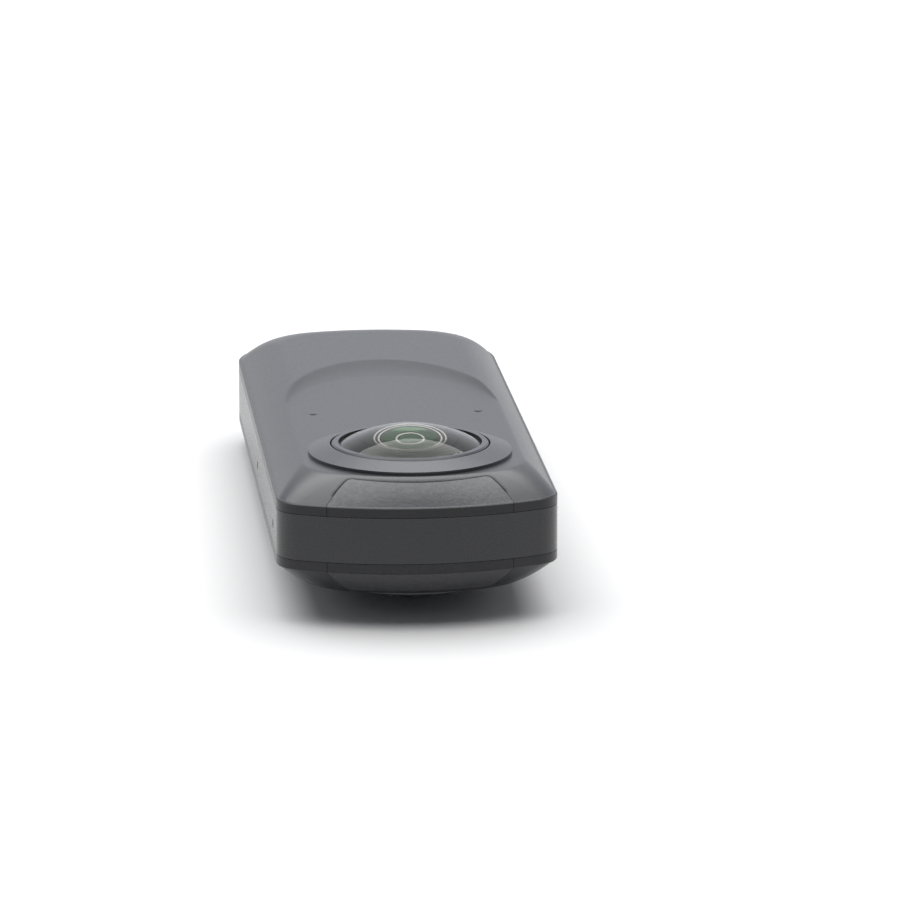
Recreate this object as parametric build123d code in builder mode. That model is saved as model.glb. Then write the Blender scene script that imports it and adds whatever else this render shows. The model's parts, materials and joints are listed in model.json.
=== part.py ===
# 360 degree camera: a slim bar with a fisheye lens near one end of each of its two faces.
# It lies on its front face. X is the width, Y runs from the lens end to the bottom end and Z is
# the depth, up to the rear face. The origin is the centre of the body.
from build123d import *
import os
from math import hypot, sqrt

# Driving sizes, in millimetres
body_width = 48.0
body_length = 132.5
depth_over_domes = 29.7
depth_over_bezels = 24.0
depth_over_faces = 22.0
end_radius = 48.0
near_corner_radius = 5.8
far_corner_radius = 13.0
lens_from_end = 22.95

# Fits between pieces
slip_gap = 0.05
seam_gap = 0.08
button_gap = 0.15
inner_gap = 0.3
overrun = 1.0

# Shells
frame_half = 4.0
rim_level = 5.85
rim_step = 0.5
rim_chamfer = 0.25
shell_wall = 1.2
slope_level_shares = (0.0, 0.3, 0.57, 0.8, 0.93, 0.985, 1.0)
slope_power = 1.65
slope_far_power = 1.8
plateau_inset = 7.5
plateau_near_inset = 6.45
plateau_far_inset = 15.0
plateau_near_arc_share = 1.333
plateau_near_corner_share = 0.82
plateau_far_arc_share = 2.18
plateau_far_corner_share = 0.61

# Grip recess, which ends in an arch
recess_depth = 0.9
recess_inset = 4.6
arch_from_end = 39.65
arch_height = 38.0
scoop_run = 9.5
scoop_shares = ((0.0, 0.0), (0.36, 0.58), (1.0, 1.0))

# Lens, from the dome down to the bracket
ring_outer_radius = 17.5
ring_skirt = 0.55
ring_land = 0.3
ring_top_drop = 0.25
ring_neck_radius = 16.4
groove_width = 0.3
groove_depth = 0.9
cell_radius = 13.5
cell_lip = 0.55
cell_depth = 5.5
dome_radius = 12.3
dome_edge_height = 0.95
dome_rise = 3.4
dome_hollow_radius = 8.2
dome_hollow_rise = 3.0
element_radius = 7.2
element_edge = 1.6
element_rise = 1.5
baffle_radius = 6.0
baffle_step = 0.45
baffle_steps = 3
stack_radius = 9.5
stack_step_radius = 7.4
stack_end_radius = 5.2
stack_flange = 1.2
stack_iris_radius = 3.2
stack_iris_depth = 0.8
prism_size = 5.2
glass_edge = 0.15

# Antenna windows at the lens end
window_top_from_end = 3.45
window_top_sag = 2.6
window_top_half_width = 11.9
window_foot_half_width = 15.8
window_corner = 1.4

# Microphone holes
face_mic_x = 14.6
face_mic_from_lens = 30.0
mic_hole_radius = 0.6
side_mics_from_lens = (38.1, -5.0)
side_mic_level = -0.8
side_mic_radius = 0.85
mic_capsule_radius = 2.0
mic_capsule_height = 1.1

# Middle frame
frame_wall = 2.0
end_block = 11.0
boss_radius = 1.9
boss_bore_radius = 0.85
boss_inset = 4.7
near_boss_inset = 5.8
near_boss_from_end = 9.85
mid_boss_from_lens = 17.8
far_boss_from_end = 29.0
boss_web = 1.4
seal_inset = 0.75
seal_width = 0.7
seal_height = 0.5
screw_head_radius = 1.5
screw_head_height = 0.8
screw_grip = 1.6
post_height = 3.6

# Tripod insert
insert_bore_radius = 2.6
insert_bore_length = 7.0
insert_mouth = 0.35
insert_barrel_radius = 3.8
insert_flange_radius = 4.5
insert_flange = 1.2
insert_sink = 0.5
insert_floor = 1.0
boss_rim = 0.7

# Socket in the bottom end
socket_x = -12.0
socket_width = 8.94
socket_height = 3.2
socket_depth = 7.3
socket_skin = 0.3
socket_back = 1.0
tongue_width = 6.7
tongue_height = 0.7
tongue_length = 4.6
socket_sink = 0.4

# Strap anchor in the bottom end
strap_x = 13.5
strap_width = 5.4
strap_height = 4.2
strap_depth = 6.0
strap_pin_radius = 0.8
strap_pin_behind_edge = 2.5

# Buttons in the right side, spread over the room between two bosses
side_button_shares = (0.183, 0.3745, 0.566, 0.757)
side_button_names = ("power_button", "wireless_button", "mode_button", "function_button")
side_button_length_share = 0.121
side_button_height = 3.6
side_button_sink = 0.05
side_flange = 0.5
side_flange_depth = 0.8
side_stem_radius = 0.9
side_button_travel = 0.3
side_groove_depth = 0.4
side_groove_margin = 1.1

# Speaker in the right side
speaker_length = 9.0
speaker_height = 4.4
speaker_thickness = 3.0
speaker_slot_length = 1.8
speaker_slot_width = 0.8
speaker_slot_pitch = 1.7
speaker_slots = 5
grille_thickness = 0.3

# Shutter button and lamp in the front face
shutter_run_share = 0.6625
shutter_radius = 5.8
shutter_proud = 0.45
shutter_dish = 0.35
shutter_flange_radius = 7.0
shutter_flange = 0.7
shutter_stem_radius = 1.6
shutter_travel = 0.5
trim_width = 1.2
trim_proud = 0.15
lamp_from_shutter = 11.0
lamp_radius = 0.9

# Display in the front face
display_from_end = 25.75
display_width = 25.0
display_height = 9.0
display_corner = 1.2
display_glass = 1.0
panel_thickness = 1.1
panel_margin = 0.4

# Boards, battery and switches
board_thickness = 0.9
board_top = 0.5
board_side_gap = 7.0
board_from_lens = 19.3
board_from_end = 14.25
shield_height = 2.0
shield_length_share = 0.224
shield_pitch_share = 0.263
shield_count = 3
shield_width = 22.0
battery_width_share = 0.667
battery_from_lens = 39.8
battery_from_end = 25.75
battery_thickness = 6.0
battery_edge = 2.4
spreader_thickness = 0.4
switch_body = 3.2
switch_body_height = 0.9
switch_actuator_radius = 0.8
switch_actuator = 0.5
switch_board_thickness = 0.8
switch_board_height = 6.6
front_board_width = 16.0
front_board_length = 20.0
bracket_half_width = 13.2
bracket_half_length = 12.6
bracket_half_height = 6.2
bracket_tunnel_length = 11.0
bracket_tunnel_height = 9.0
bracket_ear = 3.9
bracket_ear_thickness = 1.6
sensor_width = 13.6
sensor_height = 9.6
sensor_thickness = 1.3
sensor_board_width = 16.0
sensor_board_height = 11.4

# Levels and places that follow
face_level = depth_over_faces / 2
recess_level = face_level - recess_depth
ceiling_level = recess_level - shell_wall
slope_rise = face_level - rim_level
dome_level = depth_over_domes / 2
bezel_level = depth_over_bezels / 2
half_length = body_length / 2
half_width = body_width / 2
lens_y = lens_from_end - half_length
plateau_half_width = half_width - plateau_inset
ring_inner_radius = cell_radius + groove_width
arch_apex_y = half_length - arch_from_end
face_mic_y = lens_y + face_mic_from_lens
side_mic_places = [(lens_y + away, side_mic_level) for away in side_mics_from_lens]
mid_boss_y = lens_y + mid_boss_from_lens
far_boss_y = half_length - far_boss_from_end
boss_places = (
    (half_width - near_boss_inset, near_boss_from_end - half_length),
    (half_width - boss_inset, mid_boss_y),
    (half_width - boss_inset, far_boss_y),
)
side_room = far_boss_y - mid_boss_y
side_button_ys = [mid_boss_y + side_room * share for share in side_button_shares]
side_button_length = side_room * side_button_length_share
far_corner_reach = sqrt((end_radius - far_corner_radius) ** 2 - (half_width - far_corner_radius) ** 2)
speaker_y = half_length - end_radius + far_corner_reach - speaker_length / 2
shutter_y = lens_y + (arch_apex_y - lens_y) * shutter_run_share
lamp_y = shutter_y + lamp_from_shutter
display_y = half_length - display_from_end
shell_foot = frame_half + seam_gap / 2
frame_top = frame_half - seam_gap / 2
wall_inner_x = half_width - frame_wall
block_y = half_length - end_block


def end_y(x):
    """Y of the bottom end's arc at a distance x from the middle."""
    return half_length - end_radius + sqrt(end_radius**2 - x**2)


def bar(level, half_x, near_y, far_y, near_arc, near_corner, far_arc, far_corner):
    """A bar in plan with straight sides, an arc at each end and rounded corners."""
    near_side = near_y + near_arc - sqrt(near_arc**2 - half_x**2)
    far_side = far_y - far_arc + sqrt(far_arc**2 - half_x**2)
    with BuildSketch(Plane.XY.offset(level)) as plan:
        with BuildLine():
            Line((half_x, near_side), (half_x, far_side))
            ThreePointArc((half_x, far_side), (0, far_y), (-half_x, far_side))
            Line((-half_x, far_side), (-half_x, near_side))
            ThreePointArc((-half_x, near_side), (0, near_y), (half_x, near_side))
        make_face()
        fillet(plan.vertices().sort_by(Axis.Y)[:2], near_corner)
        fillet(plan.vertices().sort_by(Axis.Y)[-2:], far_corner)
    return plan.sketch


def body_outline(level, inset=0):
    """The body's outline in plan, drawn in by inset."""
    arc = end_radius - inset
    end = half_length - inset
    corners = (near_corner_radius - inset, far_corner_radius - inset)
    return bar(level, half_width - inset, -end, end, arc, corners[0], arc, corners[1])


def slope_outline(level, inset=0):
    """An outline of the slope at a level between the rim and the plateau of the face.

    The slope flattens towards the plateau, by a power of its own at the bottom end.
    """
    left_to_rise = (face_level - level) / slope_rise
    side_share = 1 - left_to_rise ** (1 / slope_power)
    far_share = 1 - left_to_rise ** (1 / slope_far_power)

    def between(rim, plateau, share=side_share):
        return rim + (plateau - rim) * share - inset

    rim_end = half_length - rim_step
    return bar(
        level,
        between(half_width - rim_step, plateau_half_width),
        -between(rim_end, half_length - plateau_near_inset),
        between(rim_end, half_length - plateau_far_inset, far_share),
        between(end_radius - rim_step, plateau_half_width * plateau_near_arc_share),
        between(near_corner_radius - rim_step, plateau_half_width * plateau_near_corner_share),
        between(end_radius - rim_step, plateau_half_width * plateau_far_arc_share, far_share),
        between(far_corner_radius - rim_step, plateau_half_width * plateau_far_corner_share, far_share),
    )


def recess_outline(level, reach):
    """The grip recess in plan: half an ellipse at the bottom end, open at the lens end."""
    side = half_width - recess_inset
    start = arch_apex_y - arch_height
    near = -half_length - overrun
    with BuildSketch(Plane.XY.offset(level)) as plan:
        with BuildLine():
            EllipticalCenterArc((0, start), side, reach - start, start_angle=0, arc_size=180)
            Polyline((-side, start), (-side, near), (side, near), (side, start))
        make_face()
    return plan.sketch


def window_outline(level, grow):
    """An antenna window in plan: its top edge bows round the bezel and its sides spread."""
    top_half = window_top_half_width + grow
    foot_half = window_foot_half_width + grow
    mid_y = grow + window_top_from_end - half_length
    top_y = mid_y + window_top_sag
    step_y = rim_step - end_y(foot_half)
    foot_y = -half_length - overrun
    with BuildSketch(Plane.XY.offset(level)) as plan:
        with BuildLine():
            ThreePointArc((-top_half, top_y), (0, mid_y), (top_half, top_y))
            Polyline((top_half, top_y), (foot_half, step_y), (foot_half, foot_y), (-foot_half, foot_y))
            Polyline((-foot_half, foot_y), (-foot_half, step_y), (-top_half, top_y))
        make_face()
        fillet(plan.vertices().group_by(Axis.Y)[-1], window_corner)
    return plan.sketch


def lens_plane():
    """The upright plane through the lens axis: local X is outwards, local Y is the level."""
    return Plane(origin=(0, lens_y, 0), x_dir=(1, 0, 0), z_dir=(0, -1, 0))


def lens_axis():
    """The axis that both lenses share."""
    return Axis((0, lens_y, 0), (0, 0, 1))


def finish(part, name, colour):
    """Names a finished piece and writes it."""
    part.label = name
    part.color = Color(*colour)
    export_step(part, f"parts/{name}.step")


os.makedirs("parts", exist_ok=True)
metal = (0.28, 0.29, 0.31)
frame_metal = (0.33, 0.34, 0.36)
black = (0.05, 0.05, 0.05)
glass = (0.35, 0.42, 0.4)
steel = (0.62, 0.63, 0.65)
board_green = (0.08, 0.3, 0.16)

# The slope's wall is measured square to it, so in plan it is drawn in further
slope_run = plateau_inset - rim_step
slope_inset = shell_wall * hypot(slope_run, slope_rise) / slope_rise

# Outer form of a shell: an upright band at its foot, then the slope up to the flat of the face
band_height = rim_level - shell_foot
with BuildPart() as shell_form:
    extrude(body_outline(shell_foot), amount=band_height)
    chamfer(shell_form.faces().sort_by(Axis.Z)[-1].edges(), rim_chamfer)
    loft([slope_outline(rim_level + slope_rise * share) for share in slope_level_shares])

# The recess is a flat floor that scoops up to the face along an arch
scoops = [
    recess_outline(recess_level + recess_depth * level_share, arch_apex_y - scoop_run * (1 - reach_share))
    for level_share, reach_share in scoop_shares
]
with BuildPart() as recess_tool:
    loft(scoops)
    extrude(scoops[-1], amount=overrun)

# Room inside a shell
with BuildPart() as cavity_tool:
    extrude(body_outline(shell_foot - overrun, rim_step + shell_wall), amount=band_height + overrun)
    loft([slope_outline(level, slope_inset) for level in (rim_level, ceiling_level)])

# The antenna window in plan and the wider hole it lies in
with BuildPart() as window_tool:
    extrude(window_outline(shell_foot - overrun, 0), amount=depth_over_faces)

with BuildPart() as window_hole_tool:
    extrude(window_outline(shell_foot - overrun, seam_gap), amount=depth_over_faces)

both_sides = [(side * x, y) for x, y in boss_places for side in (-1, 1)]

# A shell before the holes of either face, and the window cut from its lens end
with BuildPart() as shell_blank:
    add(shell_form.part)
    add(recess_tool.part, mode=Mode.SUBTRACT)
    add(cavity_tool.part, mode=Mode.SUBTRACT)

with BuildPart() as rear_antenna_window:
    add(shell_blank.part)
    add(window_tool.part, mode=Mode.INTERSECT)

tripod_boss_radius = insert_flange_radius + boss_rim
with BuildPart() as shell_common:
    add(shell_blank.part)
    add(window_hole_tool.part, mode=Mode.SUBTRACT)
    # Round opening for the neck of the bezel
    with BuildSketch(Plane.XY.offset(shell_foot)):
        with Locations((0, lens_y)):
            Circle(ring_neck_radius + slip_gap)
    extrude(amount=face_level, mode=Mode.SUBTRACT)
    # Two microphone holes beside the grip
    with BuildSketch(Plane.XY.offset(shell_foot)):
        with Locations((-face_mic_x, face_mic_y), (face_mic_x, face_mic_y)):
            Circle(mic_hole_radius)
    extrude(amount=face_level, mode=Mode.SUBTRACT)
    # Half-round notch over the tripod boss
    with BuildSketch(Plane.XZ.offset(-block_y)):
        Circle(tripod_boss_radius + seam_gap)
    extrude(amount=-end_block - overrun, mode=Mode.SUBTRACT)

with BuildPart() as rear_shell:
    add(shell_common.part)
    # Posts that the screws of the frame pull down
    with BuildSketch(Plane.XY.offset(shell_foot)):
        with Locations(*both_sides):
            Circle(boss_radius)
    extrude(amount=post_height)
    with BuildSketch(Plane.XY.offset(shell_foot)):
        with Locations(*both_sides):
            Circle(boss_bore_radius - slip_gap)
    extrude(amount=screw_grip + slip_gap, mode=Mode.SUBTRACT)
finish(rear_shell.part, "rear_shell", metal)
finish(rear_antenna_window.part, "rear_antenna_window", frame_metal)

trim_radius = shutter_radius + button_gap + trim_width
with BuildPart() as front_shell:
    mirror(shell_common.part, about=Plane.XY)
    # Openings for the trim ring of the shutter button, the lamp and the display
    with BuildSketch(Plane.XY.offset(-face_level - overrun)):
        with Locations((0, shutter_y)):
            Circle(trim_radius + slip_gap)
        with Locations((0, lamp_y)):
            Circle(lamp_radius + slip_gap)
        with Locations((0, display_y)):
            RectangleRounded(display_width + 2 * slip_gap, display_height + 2 * slip_gap, display_corner)
    extrude(amount=face_level, mode=Mode.SUBTRACT)
finish(front_shell.part, "front_shell", metal)
with BuildPart() as front_antenna_window:
    mirror(rear_antenna_window.part, about=Plane.XY)
finish(front_antenna_window.part, "front_antenna_window", frame_metal)

# Middle frame: the band between the shells, with its bosses and the block at the bottom end
with BuildPart() as tripod_boss:
    with BuildSketch(Plane.XZ.offset(-block_y)):
        Circle(tripod_boss_radius)
    extrude(amount=-end_block)
    with BuildSketch(Plane.XY.offset(-tripod_boss_radius)):
        add(body_outline(0))
    extrude(amount=2 * tripod_boss_radius, mode=Mode.INTERSECT)

socket_mouth_y = end_y(socket_x - socket_width / 2) - socket_sink
strap_edge_y = end_y(strap_x)
insert_face_y = half_length - insert_sink
side_groove_length = side_button_ys[-1] - side_button_ys[0] + side_button_length + 2 * side_groove_margin
side_groove_y = (side_button_ys[0] + side_button_ys[-1]) / 2
side_groove_height = side_button_height + 2 * side_groove_margin
right_side = Plane.YZ.offset(half_width)

with BuildPart() as middle_frame:
    extrude(body_outline(-frame_top), amount=2 * frame_top)
    with BuildSketch(Plane.XY.offset(-frame_top)):
        add(body_outline(0, frame_wall))
        with Locations((0, block_y + end_block / 2)):
            Rectangle(body_width, end_block, mode=Mode.SUBTRACT)
    extrude(amount=2 * frame_top, mode=Mode.SUBTRACT)
    add(tripod_boss.part)
    # Screw bosses, webbed to the wall, with a counterbore for the head
    with BuildSketch(Plane.XY.offset(-frame_top)):
        with Locations(*both_sides):
            Circle(boss_radius)
        for x, y in both_sides:
            reach = wall_inner_x + slip_gap - abs(x)
            with Locations((x + reach / 2 * (1 if x > 0 else -1), y)):
                Rectangle(reach, boss_web)
    extrude(amount=2 * frame_top)
    with BuildSketch(Plane.XY.offset(-frame_top)):
        with Locations(*both_sides):
            Circle(boss_bore_radius)
    extrude(amount=2 * frame_top, mode=Mode.SUBTRACT)
    with BuildSketch(Plane.XY.offset(-frame_top)):
        with Locations(*both_sides):
            Circle(screw_head_radius + slip_gap)
    extrude(amount=screw_head_height + slip_gap, mode=Mode.SUBTRACT)
    # Grooves for the two seals
    for level, direction in ((frame_top, -1), (-frame_top, 1)):
        with BuildSketch(Plane.XY.offset(level)):
            add(body_outline(0, seal_inset))
            add(body_outline(0, seal_inset + seal_width), mode=Mode.SUBTRACT)
            Rectangle(2 * (tripod_boss_radius + seal_width), 2 * body_length, mode=Mode.SUBTRACT)
        extrude(amount=direction * (seal_height - seam_gap), mode=Mode.SUBTRACT)
    # Bore for the tripod insert
    with BuildSketch(Plane.XZ.offset(-half_length)):
        Circle(insert_flange_radius + slip_gap)
    extrude(amount=insert_sink + insert_flange + slip_gap, mode=Mode.SUBTRACT)
    with BuildSketch(Plane.XZ.offset(-half_length)):
        Circle(insert_barrel_radius + slip_gap)
    extrude(amount=insert_sink + insert_bore_length + insert_floor + slip_gap, mode=Mode.SUBTRACT)
    # Opening for the socket
    with BuildSketch(Plane.XZ.offset(-half_length)):
        with Locations((socket_x, 0)):
            SlotOverall(socket_width + 2 * slip_gap, socket_height + 2 * slip_gap)
    extrude(amount=end_block, mode=Mode.SUBTRACT)
    # Pocket for a strap, crossed by its pin
    with BuildSketch(Plane.XZ.offset(-half_length)):
        with Locations((strap_x, 0)):
            RectangleRounded(strap_width, strap_height, strap_height / 4)
    extrude(amount=half_length - strap_edge_y + strap_depth, mode=Mode.SUBTRACT)
    with BuildSketch(Plane.XY.offset(-frame_top)):
        with Locations((strap_x, strap_edge_y - strap_pin_behind_edge)):
            Circle(strap_pin_radius)
    extrude(amount=2 * frame_top, mode=Mode.SUBTRACT)
    # Shallow groove on the right side, with an opening for each button in its floor
    with BuildSketch(right_side):
        with Locations((side_groove_y, 0)):
            SlotOverall(side_groove_length, side_groove_height)
    extrude(amount=-side_groove_depth, mode=Mode.SUBTRACT)
    with BuildSketch(right_side):
        with Locations(*[(y, 0) for y in side_button_ys]):
            SlotOverall(side_button_length + 2 * button_gap, side_button_height + 2 * button_gap)
    extrude(amount=-frame_wall - overrun, mode=Mode.SUBTRACT)
    # Speaker slots on the right side
    with BuildSketch(right_side):
        with Locations((speaker_y, 0)):
            with GridLocations(speaker_slot_pitch, 0, speaker_slots, 1):
                SlotOverall(speaker_slot_length, speaker_slot_width, rotation=90)
    extrude(amount=-frame_wall - overrun, mode=Mode.SUBTRACT)
    # Microphone holes on the left side
    with BuildSketch(Plane.YZ.offset(-half_width)):
        with Locations(*side_mic_places):
            Circle(side_mic_radius)
    extrude(amount=frame_wall + overrun, mode=Mode.SUBTRACT)
finish(middle_frame.part, "middle_frame", frame_metal)

with BuildPart() as frame_seal_rear:
    with BuildSketch(Plane.XY.offset(frame_top - seal_height + seam_gap)):
        add(body_outline(0, seal_inset + slip_gap))
        add(body_outline(0, seal_inset + seal_width - slip_gap), mode=Mode.SUBTRACT)
        Rectangle(2 * (tripod_boss_radius + seal_width + slip_gap), 2 * body_length, mode=Mode.SUBTRACT)
    extrude(amount=seal_height)
finish(frame_seal_rear.part, "frame_seal_rear", black)
with BuildPart() as frame_seal_front:
    mirror(frame_seal_rear.part, about=Plane.XY)
finish(frame_seal_front.part, "frame_seal_front", black)

with BuildPart() as shell_screws:
    with BuildSketch(Plane.XY.offset(-frame_top)):
        with Locations(*both_sides):
            Circle(screw_head_radius)
    extrude(amount=screw_head_height)
    with BuildSketch(Plane.XY.offset(-frame_top)):
        with Locations(*both_sides):
            Circle(boss_bore_radius - slip_gap)
    extrude(amount=2 * frame_top + screw_grip)
finish(shell_screws.part, "shell_screws", steel)

# Lens ring: a cone from the skirt up to the groove round the lens cell
skirt_foot = recess_level
skirt_top = recess_level + ring_skirt
ring_top = bezel_level - ring_top_drop
ring_foot = ceiling_level
with BuildPart() as rear_lens_ring:
    with BuildSketch(lens_plane()):
        with BuildLine():
            Polyline(
                (ring_neck_radius, ring_foot),
                (ring_neck_radius, skirt_foot),
                (ring_outer_radius, skirt_foot),
                (ring_outer_radius, skirt_top),
                (ring_inner_radius + ring_land, ring_top),
                (ring_inner_radius, ring_top),
                (ring_inner_radius, ring_top - groove_depth),
                (cell_radius + slip_gap, ring_top - groove_depth),
                (cell_radius + slip_gap, ring_foot),
                close=True,
            )
        make_face()
    revolve(axis=lens_axis())
finish(rear_lens_ring.part, "rear_lens_ring", metal)
with BuildPart() as front_lens_ring:
    mirror(rear_lens_ring.part, about=Plane.XY)
finish(front_lens_ring.part, "front_lens_ring", metal)

# Lens cell: the black barrel that holds the dome and the element behind it
cell_top = bezel_level
cell_foot = bezel_level - cell_depth
dome_edge_top = dome_level - dome_rise
dome_foot = dome_edge_top - dome_edge_height
cell_floor = dome_foot - slip_gap
element_top = dome_foot - element_rise
element_foot = element_top - element_edge
with BuildPart() as rear_lens_cell:
    with BuildSketch(lens_plane()):
        with BuildLine():
            Polyline(
                (cell_radius, cell_foot),
                (cell_radius, cell_top - cell_lip / 2),
                (cell_radius - cell_lip / 2, cell_top),
                (dome_radius + slip_gap, cell_top),
                (dome_radius + slip_gap, cell_floor),
                (element_radius + slip_gap, cell_floor),
                (element_radius + slip_gap, cell_foot),
                close=True,
            )
        make_face()
    revolve(axis=lens_axis())
finish(rear_lens_cell.part, "rear_lens_cell", black)
with BuildPart() as front_lens_cell:
    mirror(rear_lens_cell.part, about=Plane.XY)
finish(front_lens_cell.part, "front_lens_cell", black)

# Dome glass: a meniscus, spherical outside and hollowed behind
dome_sphere = (dome_radius**2 + dome_rise**2) / (2 * dome_rise)
hollow_sphere = (dome_hollow_radius**2 + dome_hollow_rise**2) / (2 * dome_hollow_rise)
dome_mid_x = dome_radius / 2
dome_mid_level = dome_level - dome_sphere + sqrt(dome_sphere**2 - dome_mid_x**2)
hollow_mid_x = dome_hollow_radius / 2
hollow_top = dome_foot + dome_hollow_rise
hollow_mid_level = hollow_top - hollow_sphere + sqrt(hollow_sphere**2 - hollow_mid_x**2)
with BuildPart() as rear_dome_glass:
    with BuildSketch(lens_plane()):
        with BuildLine():
            ThreePointArc((0, dome_level), (dome_mid_x, dome_mid_level), (dome_radius, dome_edge_top))
            Line((dome_radius, dome_edge_top), (dome_radius, dome_foot))
            Line((dome_radius, dome_foot), (dome_hollow_radius, dome_foot))
            ThreePointArc((dome_hollow_radius, dome_foot), (hollow_mid_x, hollow_mid_level), (0, hollow_top))
            Line((0, hollow_top), (0, dome_level))
        make_face()
    revolve(axis=lens_axis())
finish(rear_dome_glass.part, "rear_dome_glass", glass)
with BuildPart() as front_dome_glass:
    mirror(rear_dome_glass.part, about=Plane.XY)
finish(front_dome_glass.part, "front_dome_glass", glass)

# Stepped black baffle on top of the inner element
baffle_tread = (element_radius - baffle_radius) / baffle_steps
with BuildPart() as rear_baffle:
    with BuildSketch(lens_plane()):
        with BuildLine():
            steps = [(element_radius, element_top + slip_gap + baffle_step * baffle_steps)]
            for index in range(baffle_steps):
                x = element_radius - baffle_tread * (index + 0.5)
                level = element_top + slip_gap + baffle_step * (baffle_steps - index)
                steps += [(x, level), (x, level - baffle_step * (1 - 0.5 * (index == baffle_steps - 1)))]
            steps += [(baffle_radius, steps[-1][1]), (baffle_radius, element_top + slip_gap)]
            steps += [(element_radius, element_top + slip_gap)]
            Polyline(*steps, close=True)
        make_face()
    revolve(axis=lens_axis())
finish(rear_baffle.part, "rear_baffle", black)
with BuildPart() as front_baffle:
    mirror(rear_baffle.part, about=Plane.XY)
finish(front_baffle.part, "front_baffle", black)

# Coated element behind the dome
crown_rise = element_rise - glass_edge
crown_sphere = (baffle_radius**2 + crown_rise**2) / (2 * crown_rise)
crown_mid_x = baffle_radius / 2
crown_mid_level = element_top + crown_rise - crown_sphere + sqrt(crown_sphere**2 - crown_mid_x**2)
with BuildPart() as rear_inner_glass:
    with BuildSketch(lens_plane()):
        with BuildLine():
            ThreePointArc(
                (0, element_top + crown_rise),
                (crown_mid_x, crown_mid_level),
                (baffle_radius, element_top),
            )
            Polyline(
                (baffle_radius, element_top),
                (element_radius, element_top),
                (element_radius, element_foot),
                (0, element_foot),
                (0, element_top + crown_rise),
            )
        make_face()
    revolve(axis=lens_axis())
finish(rear_inner_glass.part, "rear_inner_glass", glass)
with BuildPart() as front_inner_glass:
    mirror(rear_inner_glass.part, about=Plane.XY)
finish(front_inner_glass.part, "front_inner_glass", glass)

# Stack of the smaller elements in its stepped tube
stack_top = cell_foot - slip_gap
prism_top = prism_size / 2
stack_foot = prism_top + slip_gap
stack_mid = (stack_top - stack_flange + stack_foot) / 2
with BuildPart() as rear_lens_stack:
    with BuildSketch(lens_plane()):
        with BuildLine():
            Polyline(
                (0, stack_foot),
                (stack_end_radius, stack_foot),
                (stack_end_radius, stack_mid),
                (stack_step_radius, stack_mid),
                (stack_step_radius, stack_top - stack_flange),
                (stack_radius, stack_top - stack_flange),
                (stack_radius, stack_top),
                (stack_iris_radius, stack_top),
                (stack_iris_radius, stack_top - stack_iris_depth),
                (0, stack_top - stack_iris_depth),
                close=True,
            )
        make_face()
    revolve(axis=lens_axis())
finish(rear_lens_stack.part, "rear_lens_stack", black)
with BuildPart() as front_lens_stack:
    mirror(rear_lens_stack.part, about=Plane.XY)
finish(front_lens_stack.part, "front_lens_stack", black)

# Two prisms back to back, which turn the light of each lens to its own side
prism_half = prism_size / 2
with BuildPart() as prism_block:
    for side in (1, -1):
        with BuildSketch(Plane.XZ.offset(-lens_y - prism_half)):
            with BuildLine():
                Polyline(
                    (side * prism_half, side * prism_half),
                    (-side * (prism_half - seam_gap), side * prism_half),
                    (side * prism_half, -side * (prism_half - seam_gap)),
                    close=True,
                )
            make_face()
        extrude(amount=prism_size)
finish(prism_block.part, "prism_block", glass)

# Cast bracket that holds both lenses, the prisms and the sensors as one unit
with BuildPart() as optics_bracket:
    with BuildSketch(Plane.XY.offset(-bracket_half_height)):
        with Locations((0, lens_y)):
            RectangleRounded(2 * bracket_half_width, 2 * bracket_half_length, near_corner_radius / 2)
    extrude(amount=2 * bracket_half_height)
    ear_y = lens_y + bracket_half_length - bracket_ear / 2
    with BuildSketch(Plane.XY.offset(-bracket_ear_thickness / 2)):
        with Locations((0, ear_y)):
            Rectangle(2 * (wall_inner_x - inner_gap), bracket_ear)
    extrude(amount=bracket_ear_thickness)
    for side in (1, -1):
        with BuildSketch(Plane.XY.offset(side * bracket_half_height)):
            with Locations((0, lens_y)):
                Circle(stack_radius + slip_gap)
        extrude(amount=side * (stack_top - stack_flange - slip_gap - bracket_half_height), mode=Mode.SUBTRACT)
    with BuildSketch(Plane.XY.offset(-bracket_half_height)):
        with Locations((0, lens_y)):
            Circle(stack_step_radius + slip_gap)
    extrude(amount=2 * bracket_half_height, mode=Mode.SUBTRACT)
    with BuildSketch(Plane.YZ.offset(-bracket_half_width)):
        with Locations((lens_y, 0)):
            Rectangle(bracket_tunnel_length, bracket_tunnel_height)
    extrude(amount=2 * bracket_half_width, mode=Mode.SUBTRACT)
finish(optics_bracket.part, "optics_bracket", frame_metal)

# Sensors on their boards, one at each end of the bracket's tunnel
with BuildPart() as image_sensors:
    for side in (1, -1):
        start = side * (bracket_half_width + slip_gap)
        with BuildSketch(Plane.YZ.offset(start)):
            with Locations((lens_y, 0)):
                Rectangle(sensor_width, sensor_height)
        extrude(amount=side * sensor_thickness)
        with BuildSketch(Plane.YZ.offset(start + side * sensor_thickness)):
            with Locations((lens_y, 0)):
                Rectangle(sensor_board_width, sensor_board_height)
        extrude(amount=side * board_thickness)
finish(image_sensors.part, "image_sensors", board_green)

# Main board, its shield cans, the battery above it and the heat spreader under the rear face
board_near_y = lens_y + board_from_lens
board_far_y = half_length - board_from_end
board_length = board_far_y - board_near_y
board_y = (board_far_y + board_near_y) / 2
board_foot = board_top - board_thickness
with BuildPart() as main_board:
    with BuildSketch(Plane.XY.offset(board_foot)):
        with Locations((0, board_y)):
            RectangleRounded(2 * (half_width - board_side_gap), board_length, board_thickness)
    extrude(amount=board_thickness)
finish(main_board.part, "main_board", board_green)

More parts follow.
